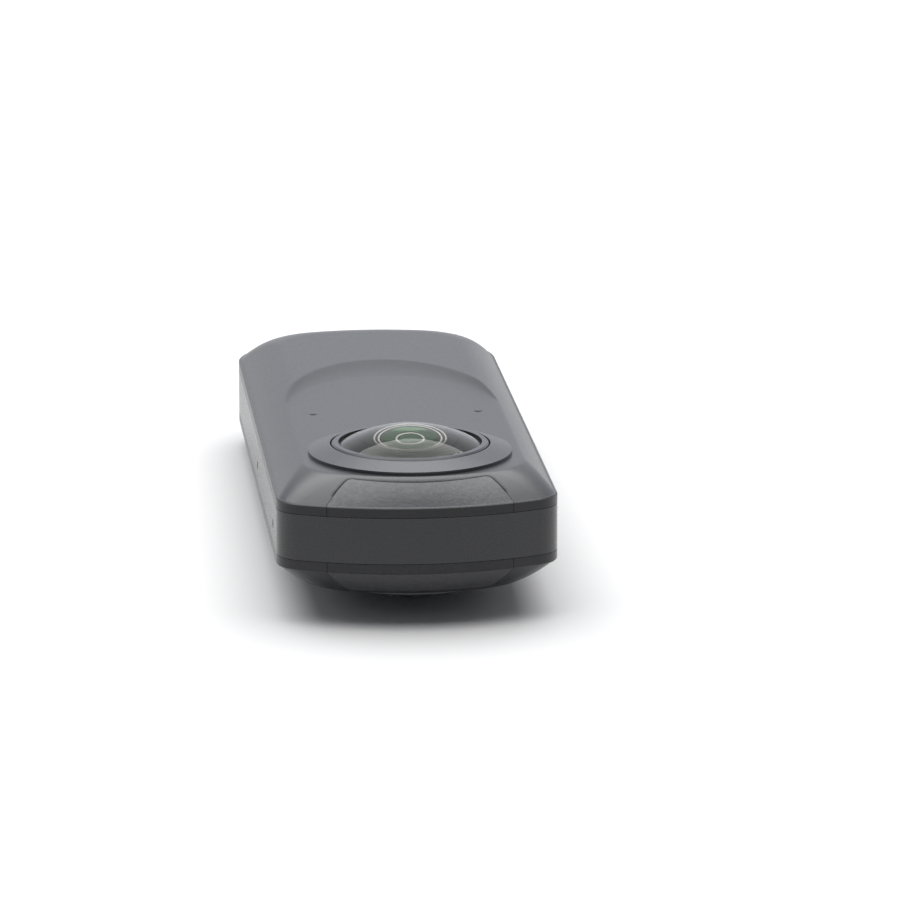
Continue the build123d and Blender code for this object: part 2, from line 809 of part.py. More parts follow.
with BuildPart() as board_shields:
    with BuildSketch(Plane.XY.offset(board_foot)):
        with Locations((0, board_y)):
            with GridLocations(0, board_length * shield_pitch_share, 1, shield_count):
                RectangleRounded(shield_width, board_length * shield_length_share, board_thickness)
    extrude(amount=-shield_height)
    fillet(board_shields.faces().group_by(Axis.Z)[0].edges(), shell_wall / 4)
finish(board_shields.part, "board_shields", steel)

spreader_top = ceiling_level - inner_gap
battery_top = spreader_top - spreader_thickness - slip_gap
battery_width = body_width * battery_width_share
battery_near_y = lens_y + battery_from_lens
battery_far_y = half_length - battery_from_end
battery_length = battery_far_y - battery_near_y
battery_y = (battery_near_y + battery_far_y) / 2
with BuildPart() as battery:
    with BuildSketch(Plane.XY.offset(battery_top - battery_thickness)):
        with Locations((0, battery_y)):
            Rectangle(battery_width, battery_length)
    extrude(amount=battery_thickness)
    fillet(battery.edges().filter_by(Axis.Y), battery_edge)
finish(battery.part, "battery", (0.2, 0.22, 0.25))

with BuildPart() as heat_spreader:
    with BuildSketch(Plane.XY.offset(spreader_top - spreader_thickness)):
        with Locations((0, battery_y)):
            RectangleRounded(battery_width, battery_length, battery_edge)
    extrude(amount=spreader_thickness)
finish(heat_spreader.part, "heat_spreader", (0.72, 0.45, 0.3))

# Microphones behind the holes of both faces and of the left side
with BuildPart() as microphones:
    for side in (1, -1):
        with BuildSketch(Plane.XY.offset(side * (ceiling_level - slip_gap))):
            with Locations((-face_mic_x, face_mic_y), (face_mic_x, face_mic_y)):
                Circle(mic_capsule_radius)
        extrude(amount=-side * mic_capsule_height)
    with BuildSketch(Plane.YZ.offset(-wall_inner_x + slip_gap)):
        with Locations(*side_mic_places):
            Circle(mic_capsule_radius)
    extrude(amount=mic_capsule_height)
finish(microphones.part, "microphones", steel)

# Buttons in the right side, each with a flange behind the wall and a stem to its switch
stem_tip_x = wall_inner_x - slip_gap - side_flange_depth - side_button_travel
for y, name in zip(side_button_ys, side_button_names):
    with BuildPart() as side_button:
        cap_face = Plane.YZ.offset(half_width - side_button_sink)
        with BuildSketch(cap_face):
            with Locations((y, 0)):
                SlotOverall(side_button_length, side_button_height)
        extrude(amount=-(frame_wall - side_button_sink + slip_gap))
        fillet(side_button.faces().sort_by(Axis.X)[-1].edges(), side_flange)
        with BuildSketch(Plane.YZ.offset(wall_inner_x - slip_gap)):
            with Locations((y, 0)):
                SlotOverall(
                    side_button_length + 2 * (button_gap + side_flange),
                    side_button_height + 2 * (button_gap + side_flange),
                )
        extrude(amount=-side_flange_depth)
        with BuildSketch(Plane.YZ.offset(wall_inner_x - slip_gap - side_flange_depth)):
            with Locations((y, 0)):
                Circle(side_stem_radius)
        extrude(amount=-side_button_travel)
    finish(side_button.part, name, frame_metal)

# Switch board behind the side buttons, with its four switches
actuator_tip_x = stem_tip_x - side_button_travel - button_gap
switch_face_x = actuator_tip_x - switch_actuator
switch_board_x = switch_face_x - switch_body_height
with BuildPart() as side_switches:
    with BuildSketch(Plane.YZ.offset(switch_board_x)):
        with Locations(*[(y, 0) for y in side_button_ys]):
            Rectangle(switch_body, switch_body)
    extrude(amount=switch_body_height)
    with BuildSketch(Plane.YZ.offset(switch_face_x)):
        with Locations(*[(y, 0) for y in side_button_ys]):
            Circle(switch_actuator_radius)
    extrude(amount=switch_actuator)
finish(side_switches.part, "side_switches", steel)

with BuildPart() as switch_board:
    with BuildSketch(Plane.YZ.offset(switch_board_x)):
        with Locations((side_groove_y, 0)):
            Rectangle(side_groove_length, switch_board_height)
    extrude(amount=-switch_board_thickness)
finish(switch_board.part, "switch_board", board_green)

# Speaker and the mesh behind its slots
with BuildPart() as speaker_grille:
    with BuildSketch(Plane.YZ.offset(wall_inner_x - slip_gap)):
        with Locations((speaker_y, 0)):
            RectangleRounded(speaker_length, speaker_height, shell_wall)
    extrude(amount=-grille_thickness)
finish(speaker_grille.part, "speaker_grille", black)
with BuildPart() as speaker:
    with BuildSketch(Plane.YZ.offset(wall_inner_x - grille_thickness - 2 * slip_gap)):
        with Locations((speaker_y, 0)):
            RectangleRounded(speaker_length, speaker_height, shell_wall)
    extrude(amount=-speaker_thickness)
    chamfer(speaker.faces().sort_by(Axis.X)[0].edges(), shell_wall / 2)
finish(speaker.part, "speaker", steel)

# Shutter button, its trim ring and its switch, in the front face
shutter_top = -recess_level - shutter_proud
flange_top = -ceiling_level + slip_gap
stem_tip = flange_top + shutter_flange + shutter_travel
with BuildPart() as shutter_button:
    with BuildSketch(Plane.XY.offset(flange_top)):
        with Locations((0, shutter_y)):
            Circle(shutter_radius)
    extrude(amount=shutter_top - flange_top)
    fillet(shutter_button.faces().sort_by(Axis.Z)[0].edges(), shutter_dish)
    with BuildSketch(Plane.XY.offset(flange_top)):
        with Locations((0, shutter_y)):
            Circle(shutter_flange_radius)
    extrude(amount=shutter_flange)
    with BuildSketch(Plane.XY.offset(flange_top)):
        with Locations((0, shutter_y)):
            Circle(shutter_stem_radius)
    extrude(amount=stem_tip - flange_top)
finish(shutter_button.part, "shutter_button", steel)

with BuildPart() as shutter_trim:
    with BuildSketch(Plane.XY.offset(-ceiling_level)):
        with Locations((0, shutter_y)):
            Circle(trim_radius)
            Circle(shutter_radius + button_gap, mode=Mode.SUBTRACT)
    extrude(amount=-(recess_level + trim_proud - ceiling_level))
    chamfer(shutter_trim.faces().sort_by(Axis.Z)[0].edges().sort_by(SortBy.RADIUS)[-1], trim_proud / 2)
finish(shutter_trim.part, "shutter_trim", steel)

switch_tip = stem_tip + shutter_travel + button_gap
front_board_level = switch_tip + switch_actuator + switch_body_height
with BuildPart() as shutter_switch:
    with BuildSketch(Plane.XY.offset(front_board_level)):
        with Locations((0, shutter_y)):
            Rectangle(switch_body, switch_body)
    extrude(amount=-switch_body_height)
    with BuildSketch(Plane.XY.offset(front_board_level - switch_body_height)):
        with Locations((0, shutter_y)):
            Circle(switch_actuator_radius)
    extrude(amount=-switch_actuator)
finish(shutter_switch.part, "shutter_switch", steel)

lamp_foot = front_board_level
with BuildPart() as front_board:
    with BuildSketch(Plane.XY.offset(front_board_level)):
        with Locations((0, (shutter_y + lamp_y) / 2)):
            RectangleRounded(front_board_width, front_board_length, board_thickness)
    extrude(amount=switch_board_thickness)
finish(front_board.part, "front_board", board_green)

with BuildPart() as status_lamp:
    with BuildSketch(Plane.XY.offset(-recess_level)):
        with Locations((0, lamp_y)):
            Circle(lamp_radius)
    extrude(amount=lamp_foot + recess_level)
finish(status_lamp.part, "status_lamp", (0.9, 0.9, 0.88))

# Display: its window lies flush in the front face, over the panel
with BuildPart() as display_window:
    with BuildSketch(Plane.XY.offset(-face_level)):
        with Locations((0, display_y)):
            RectangleRounded(display_width, display_height, display_corner)
    extrude(amount=display_glass)
finish(display_window.part, "display_window", black)
with BuildPart() as display_panel:
    with BuildSketch(Plane.XY.offset(-face_level + display_glass + slip_gap)):
        with Locations((0, display_y)):
            Rectangle(display_width - 2 * panel_margin, display_height - 2 * panel_margin)
    extrude(amount=panel_thickness)
finish(display_panel.part, "display_panel", (0.1, 0.12, 0.16))

# Tripod insert: a flanged bush with a blind threaded hole
insert_length = insert_bore_length + insert_floor
with BuildPart() as tripod_insert:
    with BuildSketch(Plane.XY):
        with BuildLine():
            Polyline(
                (0, insert_face_y - insert_length),
                (insert_barrel_radius, insert_face_y - insert_length),
                (insert_barrel_radius, insert_face_y - insert_flange),
                (insert_flange_radius, insert_face_y - insert_flange),
                (insert_flange_radius, insert_face_y),
                (insert_bore_radius + insert_mouth, insert_face_y),
                (insert_bore_radius, insert_face_y - insert_mouth),
                (insert_bore_radius, insert_face_y - insert_bore_length),
                (0, insert_face_y - insert_bore_length),
                close=True,
            )
        make_face()
    revolve(axis=Axis.Y)
finish(tripod_insert.part, "tripod_insert", steel)

# Socket: a rounded steel tube with a tongue, closed at its back
socket_back_y = socket_mouth_y - socket_depth
with BuildPart() as usb_socket:
    with BuildSketch(Plane.XZ.offset(-socket_back_y)):
        with Locations((socket_x, 0)):
            SlotOverall(socket_width, socket_height)
    extrude(amount=-socket_depth)
    with BuildSketch(Plane.XZ.offset(-socket_back_y - socket_back)):
        with Locations((socket_x, 0)):
            SlotOverall(socket_width - 2 * socket_skin, socket_height - 2 * socket_skin)
    extrude(amount=-socket_depth, mode=Mode.SUBTRACT)
    with BuildSketch(Plane.XZ.offset(-socket_back_y - socket_back)):
        with Locations((socket_x, 0)):
            Rectangle(tongue_width, tongue_height)
    extrude(amount=-tongue_length)
finish(usb_socket.part, "usb_socket", steel)

with BuildPart() as strap_pin:
    with BuildSketch(Plane.XY.offset(-frame_top)):
        with Locations((strap_x, strap_edge_y - strap_pin_behind_edge)):
            Circle(strap_pin_radius)
    extrude(amount=2 * frame_top)
finish(strap_pin.part, "strap_pin", steel)
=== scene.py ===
"""Slim 360 degree camera lying on its front face: finishes, lens, thread, grille, contacts and stage.

The file is laid out as an add-on. Sizes and colours are scene properties, each piece or group of
like pieces has an operator, and main() runs the operators in order. All lengths are in metres.
"""

import json
from math import copysign, pi, radians, sqrt

import bmesh
import bpy
from mathutils import Matrix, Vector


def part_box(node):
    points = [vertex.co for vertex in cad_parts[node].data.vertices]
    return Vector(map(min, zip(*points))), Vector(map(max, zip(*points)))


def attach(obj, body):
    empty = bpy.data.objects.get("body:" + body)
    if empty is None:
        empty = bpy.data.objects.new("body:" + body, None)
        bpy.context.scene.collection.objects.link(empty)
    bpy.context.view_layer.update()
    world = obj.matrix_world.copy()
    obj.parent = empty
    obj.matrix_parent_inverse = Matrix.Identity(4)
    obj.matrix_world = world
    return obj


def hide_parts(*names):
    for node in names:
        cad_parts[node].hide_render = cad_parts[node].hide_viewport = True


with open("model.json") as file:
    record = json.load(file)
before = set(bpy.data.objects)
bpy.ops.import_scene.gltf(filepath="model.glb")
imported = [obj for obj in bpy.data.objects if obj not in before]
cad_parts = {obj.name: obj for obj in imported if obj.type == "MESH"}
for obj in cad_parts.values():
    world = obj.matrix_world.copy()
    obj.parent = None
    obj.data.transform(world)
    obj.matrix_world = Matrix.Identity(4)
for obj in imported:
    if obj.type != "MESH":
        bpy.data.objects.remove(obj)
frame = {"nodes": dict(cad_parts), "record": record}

bl_info = {
    "name": "360 Degree Camera",
    "version": (1, 0, 0),
    "blender": (4, 5, 0),
    "location": "View3D > Sidebar > Camera",
    "description": "Finishes, lens, thread, grille, contacts and stage for a slim 360 degree camera",
    "category": "Object",
}

MM = 0.001
TOUCHING = 1e-6
BODY = "camera_body"
SIDES = ("rear", "front")
FRONT_TURN = Matrix.Rotation(pi, 4, "Y")

# Places taken from the solids. A lens piece is made for the rear lens and copied to the front one.
LENS_LOW, LENS_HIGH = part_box("rear_dome_glass")
LENS_Y = (LENS_LOW.y + LENS_HIGH.y) / 2
DOME_RADIUS = (LENS_HIGH.x - LENS_LOW.x) / 2
SHUTTER_LOW, SHUTTER_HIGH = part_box("shutter_button")
SHUTTER_Y = (SHUTTER_LOW.y + SHUTTER_HIGH.y) / 2
INSERT_LOW, INSERT_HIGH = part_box("tripod_insert")
GRILLE_LOW, GRILLE_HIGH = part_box("speaker_grille")
SOCKET_LOW, SOCKET_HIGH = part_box("usb_socket")

# Radii of the polished ledges on the back of each dome.
LEDGES = (2.0 * MM, 4.7 * MM, 5.4 * MM, 7.6 * MM)

# How the coordinates are stretched to draw lines along Y or Z, or rings about Y or Z.
ALONG_Y = (1, 0.05, 1)
ALONG_Z = (1, 1, 0.1)
ABOUT_Y = (1, 0, 1)
ABOUT_Z = (1, 1, 0)


def colour_setting(name, description, default):
    """A colour property with a picker."""
    return bpy.props.FloatVectorProperty(
        name=name, description=description, subtype="COLOR", size=3, min=0, max=1, default=default
    )


def length_setting(name, description, default):
    """A length property, given in millimetres and kept in metres."""
    return bpy.props.FloatProperty(
        name=name, description=description, default=default * MM, min=0, unit="LENGTH", precision=5
    )


def angle_setting(name, description, default):
    """An angle property, given in degrees and kept in radians."""
    return bpy.props.FloatProperty(
        name=name, description=description, subtype="ANGLE", default=radians(default)
    )


def place_setting(name, description, default):
    """A place property in metres, from the middle of the object."""
    return bpy.props.FloatVectorProperty(
        name=name, description=description, subtype="TRANSLATION", unit="LENGTH", size=3, default=default
    )


def amount_setting(name, description, subtype, default):
    """A plain number property with its subtype."""
    return bpy.props.FloatProperty(name=name, description=description, subtype=subtype, default=default)


class HousingFinish(bpy.types.PropertyGroup):
    """Colours and grain of the shells, the middle frame, the lens rings and the antenna windows, and the
    painted shade on the upright rims of the shells and windows.
    """

    shell_colour: colour_setting("Shell", "Matte paint on the two shells", (0.016, 0.0165, 0.018))
    frame_colour: colour_setting("Frame", "Satin paint on the middle frame", (0.018, 0.0185, 0.0195))
    window_colour: colour_setting("Window", "Grained resin of the antenna windows", (0.042, 0.042, 0.047))
    ring_colour: colour_setting("Ring", "Satin paint on the lens rings", (0.035, 0.036, 0.041))
    # Painted shade: the upright rim gets this darker colour and less shine, standing in for the shade that
    # falls on it.
    rim_shade_colour: colour_setting("Rim", "Dull upright rim of the shells and windows", (0.01, 0.01, 0.0115))
    worn_colour: colour_setting("Worn edge", "Paint rubbed thin along the edges", (0.12, 0.122, 0.13))
    grain_size: length_setting("Grain size", "Width of one grain of the paint", 0.16)
    grain_depth: length_setting("Grain depth", "Height of the paint's grain", 0.006)
    fleck_size: length_setting("Fleck size", "Width of one fleck of the window's resin", 0.42)
    fleck_depth: length_setting("Fleck depth", "Height of the window's flecks", 0.022)
    wear_width: length_setting("Wear width", "How far the wear reaches from an edge", 0.12)
    rim_level: length_setting("Rim level", "Height of the rim over the middle, where the slope begins", 5.8)
    crease_radius: length_setting("Crease radius", "How far the shells' creases are eased", 1.2)


class LensShape(bpy.types.PropertyGroup):
    """Sizes and colours of the glass and the rings behind each dome."""

    dome_rise: length_setting("Dome rise", "Height of the dome above its edge", 3.4)
    back_radius: length_setting("Back radius", "Radius of the dome's stepped back", 8.2)
    back_drop: length_setting("Back drop", "How far the middle of the dome's back lies below its foot", 1.4)
    ledge_width: length_setting("Ledge width", "Width of a polished ledge on the dome's back", 0.3)
    # Inside this radius the dome's back is painted with the shade and green reflection of the deep lens.
    pupil_radius: length_setting("Pupil radius", "Radius of the coated middle of the dome's back", 4.0)
    crown_rise: length_setting("Crown rise", "Height of the second element's crown", 1.35)
    crown_radius: length_setting("Crown radius", "Radius of the second element's crown", 5.95)
    deep_radius: length_setting("Deep radius", "Radius of the third element", 3.1)
    deep_rise: length_setting("Deep rise", "Height of the third element's crown", 0.75)
    glass_colour: colour_setting("Glass", "Tint of the dome", (0.93, 0.95, 0.92))
    coating_colour: colour_setting("Coating", "Tint of the coated second element", (0.72, 0.83, 0.68))
    # Painted shade and reflection: the pupil and the third element are opaque dark green, standing in for
    # the shade and green reflection deep in the lens.
    painted_pupil_colour: colour_setting("Deep coating", "Coated pupil and third element", (0.024, 0.04, 0.02))
    black_colour: colour_setting("Black", "Flat black inside the lens", (0.012, 0.012, 0.011))


class ThreadShape(bpy.types.PropertyGroup):
    """Sizes of the tripod thread."""

    pitch: length_setting("Pitch", "Rise of the thread in one turn", 1.27)
    root_radius: length_setting("Root radius", "Radius at the bottom of the thread", 3.15)
    crest_radius: length_setting("Crest radius", "Radius at the top of the thread", 2.62)
    barrel_radius: length_setting("Barrel radius", "Outer radius of the barrel", 3.8)
    flange: length_setting("Flange", "Thickness of the flange", 1.2)
    floor: length_setting("Floor", "Thickness of the closed end", 1.0)
    mouth: length_setting("Mouth", "Chamfer at the mouth", 0.35)


class StageSetup(bpy.types.PropertyGroup):
    """Where the picture is taken from, and the light in the studio."""

    place: place_setting("Camera place", "Where the camera stands", (-0.084883, -1.0362928, 0.2456999))
    heading: angle_setting("Heading", "Turn of the camera from +Y towards +X", 5.2793)
    pitch: angle_setting("Pitch", "How far the camera looks down", 13.2829)
    lens: amount_setting("Lens", "Focal length for a 36 mm sensor", "DISTANCE_CAMERA", 238.51)
    softbox: amount_setting("Softbox", "Power of the large lamp above", "POWER", 22.0)
    softbox_place: place_setting("Softbox place", "Where the lamp hangs", (-0.03, 0.14, 0.9))
    softbox_size: length_setting("Softbox size", "Edge of the square lamp", 1400)
    sky: amount_setting("Room light", "Strength of the light from the room", "FACTOR", 1.0)
    near_wall: colour_setting("Near wall", "Light of the room behind the camera", (0.2, 0.21, 0.23))
    far_wall: colour_setting("Far wall", "Light of the room beyond the object", (0.9, 0.93, 1.0))
    floor_colour: colour_setting("Floor", "Colour of the seamless floor", (0.56, 0.556, 0.55))
    floor_size: length_setting("Floor size", "Edge of the square floor", 12000)


# Shader nodes


def put(tree, kind, values=None, **settings):
    """Adds a node, sets it up and gives its inputs their values or links."""
    made = tree.nodes.new(kind)
    for name, value in settings.items():
        setattr(made, name, value)
    for name, value in (values or {}).items():
        if isinstance(value, bpy.types.NodeSocket):
            tree.links.new(value, made.inputs[name])
        else:
            made.inputs[name].default_value = value
    return made


def maths(tree, operation, first, second=0.0, clamp=False):
    """The result of a Math node."""
    values = {0: first, 1: second}
    return put(tree, "ShaderNodeMath", values, operation=operation, use_clamp=clamp).outputs[0]


def vector_maths(tree, operation, first, second=(0, 0, 0), result="Vector"):
    """The result of a Vector Math node."""
    values = {0: first, 1: second}
    return put(tree, "ShaderNodeVectorMath", values, operation=operation).outputs[result]


def scaled(tree, vector, factor):
    """A vector or a colour times a factor."""
    values = {0: vector, "Scale": factor}
    return put(tree, "ShaderNodeVectorMath", values, operation="SCALE").outputs[0]


def blended(tree, share, first, second):
    """A colour between two others."""
    return put(tree, "ShaderNodeMix", {0: share, 6: first, 7: second}, data_type="RGBA").outputs[2]


def ranged(tree, value, low, high, to_low=0.0, to_high=1.0, smooth=False):
    """A value moved from one range to another."""
    kind = "SMOOTHSTEP" if smooth else "LINEAR"
    values = {0: value, 1: low, 2: high, 3: to_low, 4: to_high}
    return put(tree, "ShaderNodeMapRange", values, interpolation_type=kind).outputs[0]


def object_point(tree):
    """The place on a piece, in the object's own coordinates."""
    return put(tree, "ShaderNodeTexCoord").outputs["Object"]


def height_off_middle(tree):
    """The height above or below the middle of the body."""
    parts = put(tree, "ShaderNodeSeparateXYZ", {0: object_point(tree)}).outputs
    return maths(tree, "ABSOLUTE", parts["Z"])


def true_normal(tree):
    """The normal without any bump."""
    return put(tree, "ShaderNodeNewGeometry").outputs["Normal"]


def rounded_normal(tree, radius, samples):
    """The normal as it would be with rounded edges."""
    return put(tree, "ShaderNodeBevel", {"Radius": radius}, samples=samples).outputs[0]


def noise(tree, size, detail=2.0, point=None):
    """Noise whose features are of the given size, on object coordinates unless others are given."""
    if point is None:
        point = object_point(tree)
    scale = maths(tree, "DIVIDE", 1.0, size)
    return put(tree, "ShaderNodeTexNoise", {"Vector": point, "Scale": scale, "Detail": detail}).outputs[0]


def new_group(name, inputs, outputs):
    """An empty node group with its sockets. Returns the tree, its inputs and its outputs."""
    tree = bpy.data.node_groups.new(name, "ShaderNodeTree")
    for title, kind, default in inputs:
        socket = tree.interface.new_socket(title, in_out="INPUT", socket_type="NodeSocket" + kind)
        socket.default_value = default
    for title, kind in outputs:
        tree.interface.new_socket(title, in_out="OUTPUT", socket_type="NodeSocket" + kind)
    return tree, tree.nodes.new("NodeGroupInput").outputs, tree.nodes.new("NodeGroupOutput").inputs


def put_relief(tree, result, value, depth):
    """Ends a group with a value and the normal of the relief that it makes."""
    bump = put(tree, "ShaderNodeBump", {"Height": value, "Distance": depth})
    tree.links.new(value, result["Value"])
    tree.links.new(bump.outputs[0], result["Normal"])


def make_fine_grain():
    """Grain of a sprayed or moulded surface."""
    tree, given, result = new_group(
        "Fine Grain",
        [("Size", "Float", 0.2 * MM), ("Depth", "Float", 0.01 * MM)],
        [("Value", "Float"), ("Normal", "Vector")],
    )
    put_relief(tree, result, noise(tree, given["Size"]), given["Depth"])


def make_cloudy_tone():
    """A colour that drifts a little over the surface and from grain to grain."""
    tree, given, result = new_group(
        "Cloudy Tone",
        [
            ("Colour", "Color", (0.5, 0.5, 0.5, 1)),
            ("Cloud Size", "Float", 20 * MM),
            ("Cloud Share", "Float", 0.06),
            ("Grain", "Float", 0.5),
            ("Grain Share", "Float", 0.2),
        ],
        [("Colour", "Color")],
    )
    cloud = maths(tree, "SUBTRACT", noise(tree, given["Cloud Size"], 3.0), 0.5)
    grain = maths(tree, "SUBTRACT", given["Grain"], 0.5)
    drift = maths(tree, "MULTIPLY", cloud, given["Cloud Share"])
    speck = maths(tree, "MULTIPLY", grain, given["Grain Share"])
    level = maths(tree, "ADD", maths(tree, "ADD", drift, speck), 1.0)
    tree.links.new(scaled(tree, given["Colour"], level), result["Colour"])


def make_soft_creases():
    """A normal eased round creases, beyond a height above or below the middle of the body."""
    tree, given, result = new_group(
        "Soft Creases",
        [
            ("Normal", "Vector", (0, 0, 1)),
            ("Radius", "Float", 1 * MM),
            ("Low", "Float", 7 * MM),
            ("High", "Float", 8 * MM),
        ],
        [("Normal", "Vector")],
    )
    share = ranged(tree, height_off_middle(tree), given["Low"], given["High"], smooth=True)
    eased_normal = rounded_normal(tree, given["Radius"], 8)
    change = vector_maths(tree, "SUBTRACT", eased_normal, true_normal(tree))
    summed = vector_maths(tree, "ADD", given["Normal"], scaled(tree, change, share))
    tree.links.new(vector_maths(tree, "NORMALIZE", summed), result["Normal"])


def make_edge_wear():
    """A mask along edges, broken up as rubbed paint is."""
    tree, given, result = new_group(
        "Edge Wear",
        [("Width", "Float", 0.1 * MM), ("Amount", "Float", 0.5), ("Patch Size", "Float", 3 * MM)],
        [("Mask", "Float")],
    )
    rounded = rounded_normal(tree, given["Width"], 4)
    facing = vector_maths(tree, "DOT_PRODUCT", rounded, true_normal(tree), "Value")
    edge = ranged(tree, facing, 0.995, 0.9, smooth=True)
    patch = ranged(tree, noise(tree, given["Patch Size"], 4.0), 0.35, 0.65, 0.25)
    mask = maths(tree, "MULTIPLY", maths(tree, "MULTIPLY", edge, patch), given["Amount"], clamp=True)
    tree.links.new(mask, result["Mask"])


def make_uneven_gloss():
    """Roughness that drifts between two values, as handled surfaces do."""
    tree, given, result = new_group(
        "Uneven Gloss",
        [("Low", "Float", 0.4), ("High", "Float", 0.5), ("Size", "Float", 10 * MM)],
        [("Roughness", "Float")],
    )
    drift = noise(tree, given["Size"], 5.0)
    tree.links.new(ranged(tree, drift, 0.3, 0.7, given["Low"], given["High"]), result["Roughness"])


def make_machined_lines():
    """Fine lines along one direction, or round an axis, left by a brush or a lathe."""
    tree, given, result = new_group(
        "Machined Lines",
        [
            ("Stretch", "Vector", (1, 1, 1)),
            ("Centre", "Vector", (0, 0, 0)),
            ("Round", "Float", 0.0),
            ("Size", "Float", 0.1 * MM),
            ("Depth", "Float", 0.002 * MM),
        ],
        [("Value", "Float"), ("Normal", "Vector")],
    )
    offset = vector_maths(tree, "SUBTRACT", object_point(tree), given["Centre"])
    flat = vector_maths(tree, "MULTIPLY", offset, given["Stretch"])
    radius = vector_maths(tree, "LENGTH", flat, result="Value")
    ring = put(tree, "ShaderNodeCombineXYZ", {"X": radius}).outputs[0]
    along = put(tree, "ShaderNodeMix", {0: given["Round"], 4: flat, 5: ring}, data_type="VECTOR").outputs[1]
    put_relief(tree, result, noise(tree, given["Size"], point=along), given["Depth"])


def make_resin_flecks():
    """Uneven flecks of a spark-eroded, speckled surface."""
    tree, given, result = new_group(
        "Resin Flecks",
        [("Size", "Float", 0.4 * MM), ("Depth", "Float", 0.02 * MM)],
        [("Value", "Float"), ("Normal", "Vector")],
    )
    values = {"Vector": object_point(tree), "Scale": maths(tree, "DIVIDE", 1.0, given["Size"])}
    cells = put(tree, "ShaderNodeTexVoronoi", values, feature="SMOOTH_F1")
    fleck = put(tree, "ShaderNodeSeparateColor", {0: cells.outputs["Color"]}).outputs[0]
    summed = maths(tree, "ADD", fleck, noise(tree, given["Size"], 4.0))
    put_relief(tree, result, maths(tree, "MULTIPLY", summed, 0.5), given["Depth"])


GROUP_MAKERS = (
    make_fine_grain,
    make_cloudy_tone,
    make_soft_creases,
    make_edge_wear,
    make_uneven_gloss,
    make_machined_lines,
    make_resin_flecks,
)


def effect(tree, name, **values):
    """Places one of the shared node groups. An input Cloud Size is given as Cloud_Size."""
    spaced = {title.replace("_", " "): value for title, value in values.items()}
    return put(tree, "ShaderNodeGroup", spaced, node_tree=bpy.data.node_groups[name]).outputs


# Kinds of finish


def rgba(colour):
    """A colour with full alpha."""
    return (*colour, 1.0)


def grey(level):
    """A neutral colour."""
    return (level, level, level)


def new_material(name, colour, **shader_values):
    """A material, its node tree and its Principled shader with plain values set.

    Underscores stand for spaces. A carried-over material that has the name already gives it up.
    """
    carried = bpy.data.materials.get(name)
    if carried:
        carried.name = "plain_" + name
    made = bpy.data.materials.new(name)
    made.use_nodes = True
    made.diffuse_color = rgba(colour)
    tree, shader = shading(made)
    for title, value in shader_values.items():
        shader.inputs[title.replace("_", " ")].default_value = value
    return made, tree, shader


def shading(made):
    """The node tree of a material and its Principled shader."""
    return made.node_tree, made.node_tree.nodes["Principled BSDF"]


def feed(tree, shader, **sockets):
    """Links sockets to the shader. Underscores stand for spaces."""
    for title, socket in sockets.items():
        tree.links.new(socket, shader.inputs[title.replace("_", " ")])


def fed(shader, title):
    """The socket that feeds an input of the shader."""
    return shader.inputs[title].links[0].from_socket


def painted(name, colour, worn, gloss, grain_size, grain_depth, wear_width, wear=0.35, **shader_values):
    """Sprayed paint with fine grain, uneven gloss and rubbed edges."""
    made, tree, shader = new_material(name, colour, **shader_values)
    low, high = gloss
    grain = effect(tree, "Fine Grain", Size=grain_size, Depth=grain_depth)
    tone = effect(
        tree, "Cloudy Tone", Colour=rgba(colour), Cloud_Size=18 * MM, Cloud_Share=0.03,
        Grain=grain["Value"], Grain_Share=0.5,
    )["Colour"]
    mask = effect(tree, "Edge Wear", Width=wear_width, Amount=wear)["Mask"]
    rough = effect(tree, "Uneven Gloss", Low=low, High=high, Size=0.4 * MM)["Roughness"]
    feed(
        tree, shader, Base_Color=blended(tree, mask, tone, rgba(worn)), Roughness=rough,
        Normal=grain["Normal"],
    )
    return made


def eased(name, colour, worn, gloss, radius, **settings):
    """Paint laid thick over the creases of the moulded faces."""
    made = painted(name, colour, worn, gloss, **settings)
    tree, shader = shading(made)
    soft = effect(
        tree, "Soft Creases", Normal=fed(shader, "Normal"), Radius=radius, Low=6.8 * MM, High=7.6 * MM
    )
    feed(tree, shader, Normal=soft["Normal"])
    return made


def shade_rim(made, colour, level):
    """Paints shade on the upright rim of the shells: makes a finish darker and less shiny below a height.
    """
    tree, shader = shading(made)
    shine = shader.inputs["Specular IOR Level"].default_value
    share = ranged(tree, height_off_middle(tree), level - 0.1 * MM, level)
    feed(
        tree, shader,
        Base_Color=blended(tree, share, rgba(colour), fed(shader, "Base Color")),
        Specular_IOR_Level=ranged(tree, share, 0.0, 1.0, 0.7 * shine, shine),
    )


def lipped(name, inner, lip, worn, gloss, **settings):
    """Paint that changes its colour outside the radius of the dome, where the lens cell's lip shows."""
    tree, shader = shading(painted(name, inner, worn, gloss, **settings))
    offset = vector_maths(tree, "SUBTRACT", object_point(tree), (0, LENS_Y, 0))
    flat = vector_maths(tree, "MULTIPLY", offset, ABOUT_Z)
    reach = vector_maths(tree, "LENGTH", flat, result="Value")
    beyond = ranged(tree, reach, DOME_RADIUS, DOME_RADIUS + 0.1 * MM)
    feed(tree, shader, Base_Color=blended(tree, beyond, fed(shader, "Base Color"), rgba(lip)))


def flecked(name, colour, gloss, size, depth, contrast, **shader_values):
    """Moulded resin with flecks that catch the light."""
    made, tree, shader = new_material(name, colour, **shader_values)
    low, high = gloss
    flecks = effect(tree, "Resin Flecks", Size=size, Depth=depth)
    tone = effect(
        tree, "Cloudy Tone", Colour=rgba(colour), Cloud_Size=10 * MM, Cloud_Share=0.1,
        Grain=flecks["Value"], Grain_Share=contrast,
    )["Colour"]
    rough = ranged(tree, flecks["Value"], 0.3, 0.7, high, low)
    feed(tree, shader, Base_Color=tone, Roughness=rough, Normal=flecks["Normal"])
    return made


